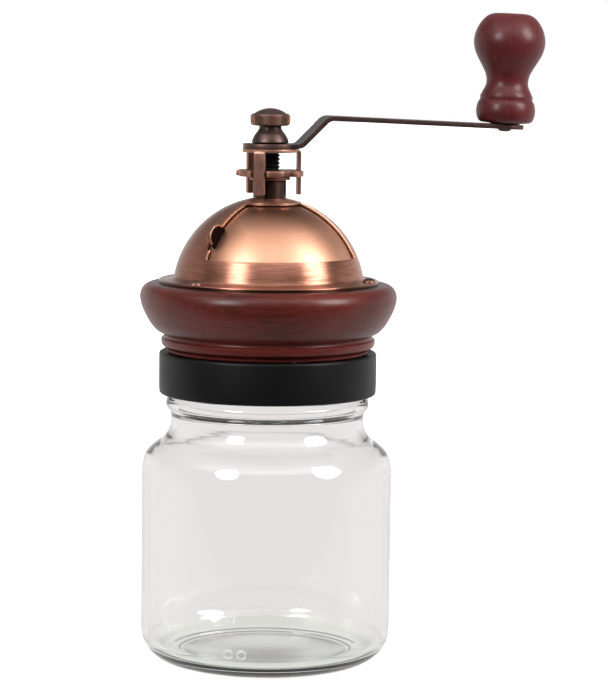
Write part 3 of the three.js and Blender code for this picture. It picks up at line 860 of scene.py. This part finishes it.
def knurl():  # upright ridges round a nut, added to the nut that they are grown on
    inputs = {
        "Count": "Int", "Radius": "Float", "Ridge": "Float", "Start": "Float", "Rise": "Float",
        "Finish": "Material",
    }
    tree = Grower("knurl", inputs)
    values = {"Vertices": tree.given("Count"), "Radius": tree.given("Radius")}
    ring = tree.add("GeometryNodeMeshCircle", None, values)
    ring = tree.moved(ring, tree.given("Start") + tree.given("Rise") * 0.5)
    values = {"Vertices": 4, "Radius": tree.given("Ridge"), "Depth": tree.given("Rise")}
    ridge = tree.add("GeometryNodeMeshCylinder", None, values)
    step = (2 * math.pi) / tree.given("Count")
    angle = tree.add("ShaderNodeCombineXYZ", None, {2: tree.add("GeometryNodeInputIndex") * step})
    values = {"Points": ring, "Instance": ridge, "Rotation": angle}
    tree.close(tree.joined(tree.given("Geometry"), tree.add("GeometryNodeInstanceOnPoints", None, values)))
    return tree


screws = screwRing()
coils = coil()
knurls = knurl()
print("node trees")

# the jar

jar = {
    "body": 49.0, "wall": 2.6, "heel": 12.0, "neck": 37.7, "bead": 39.7, "finish": 38.0, "mouth": 34.8,
    "pushUp": 2.0, "floor": 4.2, "innerHeel": 4.8,
    "ribRadius": 1.2, "ribPitch": 5.0, "ribStart": 107.2, "ribTurns": 1.25,
}


def threadRib(start, pitch, turns, height, width):  # how far a screw rib stands out at an angle and height
    def swell(angle, r, z):
        best = 0.0
        for turn in range(int(turns) + 2):
            along = angle / (2 * math.pi) + turn
            if along > turns:
                continue
            middle = start + along * pitch
            ends = min(1.0, along / 0.06, (turns - along) / 0.06)
            near = max(0.0, 1 - ((z - middle) / width) ** 2)
            best = max(best, near * height * max(0.0, ends))
        return best

    return swell


def makeJar():
    body, heel, wall = jar["body"], jar["heel"], jar["wall"]
    inner = body - wall
    top = highOf("glass_jar")
    push = jar["pushUp"]
    under = flowing([(0, push), (20, push * 0.95), (33, push * 0.55), (37.4, 0.02)], 8)
    outside = bow(body - heel, heel, heel, -84, 0, 22)
    shoulder = [
        (body, 30), (body, 50), (body, 66), (body, 73), (48.9, 76.2), (48, 80), (46.4, 82.5), (44, 84.7),
        (41.5, 86.5), (39.5, 88.8), (38.3, 91.4), (jar["neck"], 94.6), (37.8, 96.8), (38.5, 98.3),
        (39.4, 99.4), (jar["bead"], 101), (39.4, 102.6), (38.4, 103.8), (jar["finish"], 105),
    ]
    finishRows = [(jar["finish"], 105 + 0.25 * k) for k in range(1, int((top - 106.2) / 0.25))]
    rim = bow(37.0, top - 1, 1, 0, 90, 5) + bow(jar["mouth"] + 1, top - 1, 1, 90, 180, 5)
    inside = [
        (jar["mouth"], 112), (jar["mouth"], 104), (jar["mouth"], 97.5),
        (35.0, 94), (35.7, 91), (37.1, 88.2), (39.4, 85.7), (42.1, 83.4), (44.3, 81), (45.7, 78),
        (46.3, 74.6), (inner, 70), (inner, 50), (inner, 20),
    ]
    bend, well = jar["innerHeel"], jar["floor"]
    inHeel = bow(inner - bend, well + bend, bend, 0, -86, 14)
    floor = [(inner - bend - 2, well + 0.02), (24, well + 0.35), (10, well + 0.8), (0, well + 0.9)]
    line = under + outside + flowing(shoulder, 5) + finishRows + rim
    line += flowing(inside, 6) + inHeel + flowing(floor, 6)
    rib = threadRib(jar["ribStart"], jar["ribPitch"], jar["ribTurns"], jar["ribRadius"], 1.3)

    def swell(angle, r, z):
        return rib(angle, r, z) if abs(r - jar["finish"]) < 0.01 else 0

    glass = turnedObject("jar", line, 192, swell)
    settle(glass, "clearJar", "glass", "glass", "jar", "glass_jar", crease=60)


def makeSeal():
    low, high, wide = lowOf("jar_seal"), highOf("jar_seal"), reachOf("jar_seal")
    line = roundedLine([(34.9, low, 0.5), (wide, low, 0.5), (wide, high, 0.5), (34.9, high, 0.5)])
    settle(turnedObject("seal", line, 128), "sealRing", "rubber", "seal_rubber", "seal", "jar_seal")


makeJar()
makeSeal()
print("jar")

# collar, wooden ring and dome

collar = {"inner": 40.4, "hole": 30.4, "roof": 118.9}
ring = {"throat": 21.6, "bore": 23.3, "ledge": 137.6, "recess": 30.0, "recessTop": 124.4}
dome = {
    "ball": 37.5, "sheet": 0.9, "flange": 1.3, "rim": 42.9, "rimDrop": 1.25, "hole": 6.7,
    "windowHalf": 60.0, "windowLow": 158.8, "windowTop": 12.3, "notchWide": 3.6, "notchLow": 162.4,
    "notchHigh": 169.6,
}
tab = {"height": 166.6, "wide": 4.0, "half": 4.5, "seat": 2.0}
door = {"ball": 36.1, "sheet": 0.8, "from": -65.0, "to": 66.0, "low": 154.5, "hub": 10.5, "hole": 6.9}


def makeCollar():
    low, high, wide = lowOf("jar_collar"), highOf("jar_collar"), reachOf("jar_collar")
    rows = [(collar["inner"], collar["roof"] - 1.2 - 0.25 * k, 0) for k in range(46)]
    corners = [
        (collar["inner"] + 0.3, low, 0.4), (wide - 0.15, low, 0.9),
        (wide, low + 3, 0.5), (wide, high, 1.1),
        (40.6, high, 0.5), (40.0, high - 0.5, 0.5), (collar["hole"], high - 0.5, 0.4),
        (collar["hole"], collar["roof"], 0.4), (collar["inner"], collar["roof"], 0.6), *rows,
    ]
    rib = threadRib(jar["ribStart"] + jar["ribPitch"] / 2, jar["ribPitch"], jar["ribTurns"], 0.9, 1.2)

    def swell(angle, r, z):
        return -rib(angle, r, z) if abs(r - collar["inner"]) < 0.01 else 0

    piece = turnedObject("collar", roundedLine(corners), 160, swell)
    settle(piece, "screwCollar", "plastic", "black_plastic", "head", "jar_collar")


def makeWoodRing():
    low, high = lowOf("wood_ring"), highOf("wood_ring")
    foot = [(39.3, low, 0.3), (39.3, low + 1.2, 0.5)]
    bead = flowing([(39.8, 123.0), (40.9, 123.5), (41.6, 124.5), (41.75, 125.6), (41.72, 126.5)], 5)
    cove = flowing([(41.3, 126.75), (40.9, 127.1), (40.75, 127.7), (41.0, 128.3), (41.7, 128.75)], 5)
    flank = [
        (42.6, 129.1), (43.9, 130.0), (45.9, 132.3), (47.4, 134.8), (48.8, 137.6), (49.7, 140.2),
        (50.1, 142.6), (49.85, 144.6), (49.0, 146.3), (47.6, 147.5), (45.8, 148.05), (43.6, high),
    ]
    funnel = [(34.4, high, 0.8), (31, 144, 2.5), (ring["throat"], ring["ledge"], 0.6)]
    below = [
        (ring["bore"], ring["ledge"], 0.3), (ring["bore"], ring["recessTop"], 0.3),
        (ring["recess"], ring["recessTop"], 0.3), (ring["recess"], low, 0.4),
    ]
    line = roundedLine(foot + bead + cove + flowing(flank, 5) + funnel + below)
    settle(turnedObject("ring", line, 192), "woodRing", "ringWood", "mahogany", "head", "wood_ring")


def ballHeight(size, r):
    return ballCentre / mm + math.sqrt(size * size - r * r)


def shellObject(name, rows, columns, keep, thickness, bevel):  # a grid of (radius, height) rows and angles
    spots = []
    for r, z in rows:
        for a in columns:
            spots.append((r * math.sin(a) * mm, -r * math.cos(a) * mm, z * mm))
    count = len(columns)
    whole = abs(columns[-1] - columns[0]) > 6.0
    faces = []
    for i in range(len(rows) - 1):
        for k in range(count if whole else count - 1):
            n = (k + 1) % count
            step = columns[n] - columns[k] if n else 2 * math.pi + columns[0] - columns[k]
            middle = columns[k] + step / 2
            if keep(rows[i], rows[i + 1], math.degrees(middle)):
                faces.append((i * count + k, i * count + n, (i + 1) * count + n, (i + 1) * count + k))
    mesh = bpy.data.meshes.new(name)
    mesh.from_pydata(spots, [], faces)
    shape = bmesh.new()
    shape.from_mesh(mesh)
    loose = [v for v in shape.verts if not v.link_faces]
    bmesh.ops.delete(shape, geom=loose, context="VERTS")
    shape.to_mesh(mesh)
    shape.free()
    piece = newObject(name, mesh)
    wall = piece.modifiers.new("wall", "SOLIDIFY")
    wall.thickness = thickness * mm
    wall.offset = -1
    wall.use_even_offset = True
    piece = bake(piece, name)
    tidyMesh(piece.data)
    return bevelled(piece, bevel, 2, 50)


def angleGrid(start, end, step, extra=()):
    count = round((end - start) / step)
    whole = abs(end - start - 360) < 1e-6
    marks = {round(start + (end - start) * k / count, 4) for k in range(count if whole else count + 1)}
    for mark in extra:  # an extra line takes the place of the nearest one
        marks.discard(min(marks, key=lambda m: abs(m - mark)))
        marks.add(mark)
    return [math.radians(m) for m in sorted(marks)]


def ballRows(size, low, hole, marks, step=1.0):  # rows up a ball, with lines at the marked heights
    heights = sorted({low, *marks, ballHeight(size, hole)})
    rows = []
    for a, b in zip(heights, heights[1:]):
        start = math.asin((a - ballCentre / mm) / size)
        end = math.asin((b - ballCentre / mm) / size)
        count = max(1, round((end - start) * size / step))
        for k in range(count):
            t = start + (end - start) * k / count
            rows.append((size * math.cos(t), ballCentre / mm + size * math.sin(t)))
    rows.append((hole, heights[-1]))
    return rows


def makeDome():
    size = dome["ball"]
    top = highOf("wood_ring") + dome["flange"]
    windowHigh = ballHeight(size, dome["windowTop"])
    marks = [dome["windowLow"], dome["notchLow"], dome["notchHigh"], windowHigh]
    rise = ballRows(size, top + 1.6, dome["hole"], marks)
    foot = rise[0]
    skirt = roundedLine(
        [
            (dome["rim"], top - dome["rimDrop"]), (dome["rim"], top, 0.55), (foot[0] + 1.6, top, 1.0),
            (foot[0] + 0.2, top + 1.0, 0.6), foot,
        ],
        5,
        closed=False,
    )
    rows = skirt[:-1] + rise
    half = dome["windowHalf"]
    columns = angleGrid(-180, 180, 2, (-half, half, -half - dome["notchWide"]))

    def keep(below, above, angle):
        z = (below[1] + above[1]) / 2
        inBand = below[0] < foot[0] + 0.01 and dome["windowLow"] < z < windowHigh
        notch = -half - dome["notchWide"] < angle < -half and dome["notchLow"] < z < dome["notchHigh"]
        return not (inBand and (abs(angle) < half or notch))

    piece = shellObject("dome", rows, columns, keep, dome["sheet"], 0.16)
    settle(piece, "domeShell", "dome", "copper", "head", "dome_shell")


def makeDoor():
    size = door["ball"]
    hubHigh = ballHeight(size, door["hub"])
    rows = ballRows(size, door["low"], door["hole"], [hubHigh])
    columns = angleGrid(-180, 180, 2, (door["from"], door["to"]))

    def keep(below, above, angle):
        return below[1] > hubHigh - 0.01 or door["from"] < angle < door["to"]

    leaf = shellObject("door", rows, columns, keep, door["sheet"], 0.12)
    settle(leaf, "hopperDoor", "door", "copper", "door", "hopper_door")


def makeTab():
    steep = math.asin((tab["height"] - ballCentre / mm) / door["ball"])
    wide, tall, seat = tab["wide"], tab["half"], tab["seat"]
    turns = [math.radians(-90 + 9 * k) for k in range(21)]
    nose = [(seat + wide * math.cos(a), tall * math.sin(a)) for a in turns]
    trim = [(seat + (wide - 0.75) * math.cos(a), (tall - 0.75) * math.sin(a)) for a in reversed(turns)]
    outline = [(-0.9, -tall), (1.2, -tall), *nose, (1.2, tall), (-0.9, tall)]
    stand = Matrix.Rotation(math.pi / 2, 4, "X")
    lean = Matrix.Rotation(-steep, 4, "Y")
    radius = door["ball"] * mm
    place = Matrix.Translation((radius * math.cos(steep), 0, radius * math.sin(steep) + ballCentre))
    spin = Matrix.Rotation(math.radians(270 - 58.2), 4, "Z")
    # the tab's near-black face is painted shade
    piece = plateObject("tab", [outline], -0.45, 0.45, 0.2, spin @ place @ lean @ stand)
    settle(piece, "doorTab", "tab", "dark_copper", "door")
    # a bright band round the tab's nose: painted highlight
    piece = plateObject("tabEdge", [[*nose, *trim]], -0.62, 0.62, 0.15, spin @ place @ lean @ stand)
    settle(piece, "doorTabEdge", "tabEdge", "dark_copper", "door")


domeScrew = {"ring": 40, "seat": highOf("wood_ring") + dome["flange"], "head": 2.5, "rise": 1.75, "length": 9}
burrScrew = {"ring": 26.8, "seat": 121.5, "head": 2.7, "rise": 1.6, "length": 12}


def makeScrews(name, size, up, finish, slot, node):
    values = {
        "Count": 3, "Up": up, "First Angle": math.pi / 2, "Finish": finishes[finish],
        "Ring Radius": size["ring"] * mm, "Seat Height": size["seat"] * mm,
        "Head Radius": size["head"] * mm, "Head Height": size["rise"] * mm,
        "Shank Radius": 1.4 * mm, "Shank Length": size["length"] * mm,
    }
    settle(screws.grow(name, values), name, finish, slot, "head", *[f"{node}_{i}" for i in (1, 2, 3)])


makeCollar()
makeWoodRing()
makeDome()
makeDoor()
makeTab()
makeScrews("domeScrews", domeScrew, 1.0, "hardware", "dark_copper", "dome_screw")
makeScrews("burrScrews", burrScrew, -1.0, "steel", "steel", "burr_screw")
print("head")

# the spindle's stack

tube = {"outer": 6.45, "bore": 5.3, "flange": 10.6, "flangeTop": 177.8}
star = {"outer": 13.2, "hole": 4.15, "notches": 6, "floor": 9.9, "half": 2.45, "flare": 1.0}
bracket = {"disc": 10.8, "sheet": 1.3, "leg": 4.3, "reach": 12.0, "bend": 1.7, "foot": 182.6}
arm = {
    "sheet": 1.8, "gap": 0.2, "hub": 10.6, "half": 7.7, "bend": 10.8, "rise": 10.9, "bendRadius": 3.2,
    "tip": 101.0,
}
cap = {
    "ridges": 72, "ridge": 0.24, "knurlLow": 209.75, "knurlRise": 3.45,
    "bell": [
        (6.6, 0), (7.15, 0.35), (7.1, 0.9), (6.75, 1.9), (6.0, 3.3), (5.0, 4.6), (4.45, 5.6), (4.35, 6.4),
        (4.5, 6.75),
    ],
}


def makeTube():
    low, high = lowOf("neck_tube"), highOf("neck_tube")
    corners = [
        (tube["bore"], low, 0.2), (tube["flange"], low, 0.3), (tube["flange"], tube["flangeTop"], 0.3),
        (tube["outer"], tube["flangeTop"], 0.4), (tube["outer"], high, 0.5), (tube["bore"], high, 0.2),
    ]
    piece = turnedObject("tube", roundedLine(corners), 72)
    settle(piece, "neckTube", "neck", "dark_copper", "head", "neck_tube")
    low, high, wide = lowOf("thrust_washer"), highOf("thrust_washer"), reachOf("thrust_washer")
    piece = washerObject("washer", 4.2, wide, low, high, sides=72)
    settle(piece, "thrustWasher", "leg", "dark_copper", "head", "thrust_washer")


def makeStarNut():
    low, high = lowOf("adjusting_nut"), highOf("adjusting_nut")
    outer, deep, half = star["outer"], star["floor"], star["half"]
    wide = math.asin((half + star["flare"]) / outer)
    mouth = (outer * math.cos(wide), outer * math.sin(wide))
    spots = [(mouth[0], -mouth[1]), (deep, -half), (deep, half), mouth]
    outline = []
    for k in range(star["notches"]):
        turn = crankTurn + 2 * math.pi * k / star["notches"]
        c, s = math.cos(turn), math.sin(turn)
        outline += [(x * c - y * s, x * s + y * c) for x, y in spots]
        span = 2 * math.pi / star["notches"] - 2 * wide
        for i in range(1, 8):
            a = turn + wide + span * i / 8
            outline.append((outer * math.cos(a), outer * math.sin(a)))
    hole = bow(0, 0, star["hole"], 0, 351, 39)
    piece = plateObject("star", [outline, hole], low, high, 0.35)
    settle(piece, "starNut", "leg", "dark_copper", "adjuster", "adjusting_nut")


def makeBracket():
    high = highOf("lock_bracket")
    outline = bow(0, 0, bracket["disc"], 0, 354, 59)
    piece = plateObject("bracket", [outline], high - bracket["sheet"], high, 0.0)
    reach, bend, half = bracket["reach"], bracket["bend"], bracket["leg"] / 2
    stations = [(6.0, high, 0.0, half), (reach - bend, high, 0.0, half)]
    for k in range(1, 9):
        a = math.pi / 2 * k / 8
        stations.append((reach - bend + bend * math.sin(a), high - bend + bend * math.cos(a), -a, half))
    foot = bracket["foot"]
    stations += [(reach, high - bend - 4, -math.pi / 2, half), (reach, foot + 1.0, -math.pi / 2, half)]
    stations += [(reach, foot + 0.35, -math.pi / 2, half - 0.15), (reach, foot, -math.pi / 2, half - 0.6)]
    for k in range(3):
        leg = ribbonObject("leg", stations, bracket["sheet"])
        leg.data.transform(Matrix.Rotation(crankTurn + 2 * math.pi * k / 3, 4, "Z"))
        union = piece.modifiers.new("union", "BOOLEAN")
        union.operation = "UNION"
        union.solver = "EXACT"
        union.object = leg
        joined = bake(piece, "bracket")
        bpy.data.objects.remove(leg)
        piece = joined
    tidyMesh(piece.data, weld=1e-6)
    piece = bevelled(piece, 0.22, 2, 50)
    settle(piece, "lockBracket", "leg", "dark_copper", "rotor", "lock_bracket")


def makeArm():
    low = highOf("lock_bracket") + arm["gap"]
    thick, hub, half, tip = arm["sheet"], arm["hub"], arm["half"], arm["tip"]
    fall = math.atan2(Vector(knobJoint["axis"]).xy.length, Vector(knobJoint["axis"]).z)
    top = low + thick
    stations = []
    for k in range(1, 15):  # the round end about the hub
        a = math.radians(4) + (math.pi - math.asin(half / hub) - math.radians(4)) * k / 14
        stations.append((-hub * math.cos(a), top, 0.0, hub * math.sin(a)))
    slope = math.radians(45)
    turn = arm["bendRadius"]
    start = arm["bend"] - turn * math.tan(slope / 2)
    if stations[-1][0] > start - 0.2:
        stations = [s for s in stations if s[0] < start - 0.2]
    for k in range(9):  # the lower bend, hollow side up
        a = slope * k / 8
        stations.append((start + turn * math.sin(a), top + turn * (1 - math.cos(a)), a, half))
    bigTurn = turn + thick
    lastX, lastZ = stations[-1][:2]
    upper = slope + fall
    climb = arm["rise"] - turn * (1 - math.cos(slope)) - bigTurn * (math.cos(fall) - math.cos(slope))
    run = climb / math.tan(slope)
    x, z = lastX + run, lastZ + climb
    for k in range(10):  # the upper bend, round side up
        a = slope - upper * k / 9
        cx, cz = x + bigTurn * math.sin(slope), z - bigTurn * math.cos(slope)
        stations.append((cx - bigTurn * math.sin(a), cz + bigTurn * math.cos(a), a, half))
    x, z = stations[-1][:2]
    endCentre = tip - half
    for k in range(1, 6):
        at = x + (endCentre - x) * k / 5
        stations.append((at, z - (at - x) * math.tan(fall), -fall, half))
    for k in range(1, 15):  # the round tip
        a = math.radians(86) * k / 14
        at = endCentre + half * math.sin(a)
        stations.append((at, z - (at - x) * math.tan(fall), -fall, half * math.cos(a)))
    piece = ribbonObject("arm", stations, thick)
    piece.data.transform(crankFrame)
    piece = bevelled(piece, 0.32, 3, 40)
    settle(piece, "crankArm", "arm", "dark_copper", "rotor", "crank_arm")


def makeCapNut():
    low, high = lowOf("cap_nut"), highOf("cap_nut")
    bell = [(r, low + up) for r, up in cap["bell"]]
    head = [(6.9, 209.25, 0.3), (7.45, 209.7, 0.3), (7.45, 213.3, 0.25), (6.95, 213.85, 0.2)]
    crown = bow(0, high - 10.4, 10.4, 48.5, 90, 12)[1:-1]
    line = [(0, low)] + roundedLine(flowing(bell, 4) + head, 3, closed=False) + crown + [(0, high)]
    values = {
        "Count": cap["ridges"], "Radius": 7.4 * mm, "Ridge": cap["ridge"] * mm,
        "Start": cap["knurlLow"] * mm, "Rise": cap["knurlRise"] * mm, "Finish": finishes["hardware"],
    }
    piece = knurls.grow("capNut", values, turnedObject("cap", line, 144))
    settle(piece, "capNut", "hardware", "dark_copper", "rotor", "cap_nut")


def makeSpindle():
    low, high = lowOf("spindle"), highOf("spindle")
    corners = [
        (0, low), (2.6, low, 0.3), (2.9, low + 0.4, 0.2), (2.9, 132.7), (3.9, 132.7, 0.2), (3.9, 146.6),
        (3.3, 146.6), (3.3, 148), (3.9, 148), (3.9, 180, 0.3), (3.2, 180.6, 0.2), (3.2, 199.0, 0.2),
        (2.5, 199.4), (2.5, high, 0.4), (0, high),
    ]
    rod = turnedObject("rod", roundedLine(corners, 3, closed=False), 48)
    values = {
        "Turns": 11.7, "Radius": 3.28 * mm, "Rise": 17.6 * mm, "Start": 181.2 * mm,
        "Section Radius": 0.74 * mm, "Section Sides": 4, "Finish": finishes["rod"],
    }
    settle(coils.grow("spindle", values, rod), "spindleRod", "rod", "dark_copper", "rotor", "spindle")


spring = {"turns": 7.0, "radius": 6.0, "wire": 0.6}


def makeSpring():
    low, high = lowOf("spindle_spring"), highOf("spindle_spring")
    thick = spring["wire"]
    values = {
        "Turns": spring["turns"], "Radius": spring["radius"] * mm, "Rise": (high - low - 2 * thick) * mm,
        "Start": (low + thick) * mm, "Section Radius": thick * mm, "Section Sides": 14,
        "Finish": finishes["steel"],
    }
    wire = coils.grow("spring", values)
    settle(wire, "spindleSpring", "steel", "steel", "rotor", "spindle_spring")
    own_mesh(wire)


makeTube()
makeStarNut()
makeBracket()
makeArm()
makeCapNut()
makeSpindle()
makeSpring()
print("spindle stack")

# the knob

knob = {
    "base": 0.5, "height": 42.9, "drawn": 41.6,  # the outline is drawn 41.6 high and stretched to its height
    "foot": [(9.5, 0.25), (10.5, 0.9), (11.2, 2.2), (11.6, 4.2), (11.45, 6.2), (11.0, 7.8), (10.35, 8.75)],
    "step": [(10.25, 8.9), (10.3, 9.3), (10.3, 10.3), (10.15, 10.7)],
    "body": [
        (9.95, 10.75), (9.7, 11.5), (9.0, 12.8), (8.4, 14.2), (8.2, 15.8), (8.4, 17.4), (9.0, 19.2),
        (10.2, 21.4), (11.6, 23.7), (12.8, 25.9), (13.6, 28.1), (14.0, 30.4), (13.85, 32.7), (13.2, 35.0),
        (12.1, 37.2), (10.6, 39.2), (8.8, 40.7), (7.0, 41.4),
    ],
}


def makeKnob():
    base = knob["base"]
    stretch = knob["height"] / knob["drawn"]
    outlines = [knob[part] for part in ("foot", "step", "body")]
    foot, step, body = [[(r, base + up * stretch) for r, up in line] for line in outlines]
    recess = [(4.8, 1.3), (6.5, 1.3), (6.5, base + 0.1, 0.1), (7.0, base, 0.2)]
    line = [(0, 30.4), (4.8, 30.4)] + roundedLine(recess, 3, closed=False)
    line += flowing(foot, 4) + flowing(step, 4) + flowing(body, 6)
    line += [(6.2, base + knob["height"] - 0.05), (0, base + knob["height"])]
    piece = turnedObject("knob", line, 128)
    piece.data.transform(knobFrame)
    settle(piece, "knobGrip", "knobWood", "mahogany", "knob", "knob_grip")


def makePin():
    low = -arm["sheet"] - arm["gap"]
    head = flowing([(0, low - 0.8), (1.2, low - 0.74), (2.1, low - 0.5), (2.55, low - 0.15), (2.6, low)], 4)
    line = head + [(2.7, low + 0.05), (2.65, 28), (2.2, 28.6), (0, 28.6)]
    piece = turnedObject("pin", line, 48)
    piece.data.transform(knobFrame)
    settle(piece, "knobPin", "arm", "dark_copper", "rotor", "knob_pin")
    piece = washerObject("knobWasher", 3.2, 6, 0.25, 1.0, edge=0.2)
    piece.data.transform(knobFrame)
    settle(piece, "knobWasher", "hardware", "dark_copper", "rotor", "knob_washer")


makeKnob()
makePin()
print("knob")

# the burrs, which show when the head is lifted

burr = {"teeth": 12, "depth": 1.1, "twist": 0.35}


def toothed(sign, inside):  # teeth that lean round the axis as they rise
    def swell(angle, r, z):
        if not inside(r):
            return 0
        phase = ((angle + burr["twist"] * (z - 112) / 20) / (2 * math.pi) * burr["teeth"]) % 1
        return sign * burr["depth"] * (phase if phase < 0.9 else (1 - phase) * 9)

    return swell


def makeBurrs():
    outer = [(22.6, 112, 0.4), (22.6, 121.6, 0.3), (29.6, 121.6, 0.4), (29.6, 124.2, 0.3), (22.6, 124.2, 0.3),
             (22.6, 134, 0.3), (20.9, 134)]
    inner = flowing([(20.4, 133), (18.9, 128), (17.3, 122), (18.2, 117), (19.2, 112.4)], 6)
    line = roundedLine(outer, 3, closed=False) + inner + [(19.4, 112)]
    piece = turnedObject("ringBurr", line, 240, toothed(1, lambda r: r < 20.6))
    settle(piece, "ringBurr", "iron", "burr_iron", "head", "ring_burr", crease=25)
    low = [(3.2, 112), (17.4, 112), (18.6, 112.5)]
    side = flowing([(18.6, 112.6), (17.6, 117), (16.6, 121.6), (12, 127), (7.6, 132.2)], 6)
    line = low + side + [(7.0, 132.4), (3.2, 132.4)]
    piece = turnedObject("coneBurr", line, 240, toothed(-1, lambda r: r > 7.2))
    settle(piece, "coneBurr", "iron", "burr_iron", "rotor", "cone_burr", crease=25)


def makeBurrNut():
    low, high = lowOf("burr_nut"), highOf("burr_nut")
    piece = plateObject("burrNut", [bow(0, 0, 6.3, 0, 300, 5)], low, high, 0.5)
    settle(piece, "burrNut", "steel", "steel", "rotor", "burr_nut")
    low, high = lowOf("burr_washer"), highOf("burr_washer")
    piece = washerObject("burrWasher", 3.2, 8, low, high)
    settle(piece, "burrWasher", "steel", "steel", "rotor", "burr_washer")


makeBurrs()
makeBurrNut()

# pieces inside keep their frame shape and get a finish

insideFinish = {
    "upper_bush": "bush", "lower_bush": "bush", "knob_bush": "bush", "bearing_bridge": "steel",
    "spring_clip": "steel", "collar_screw_1": "steel", "collar_screw_2": "steel", "collar_screw_3": "steel",
}
for node, finish in insideFinish.items():
    data = frame["nodes"][node].data
    data.materials.clear()
    data.materials.append(finishes[finish])
print("inside pieces")

bpy.context.view_layer.update()
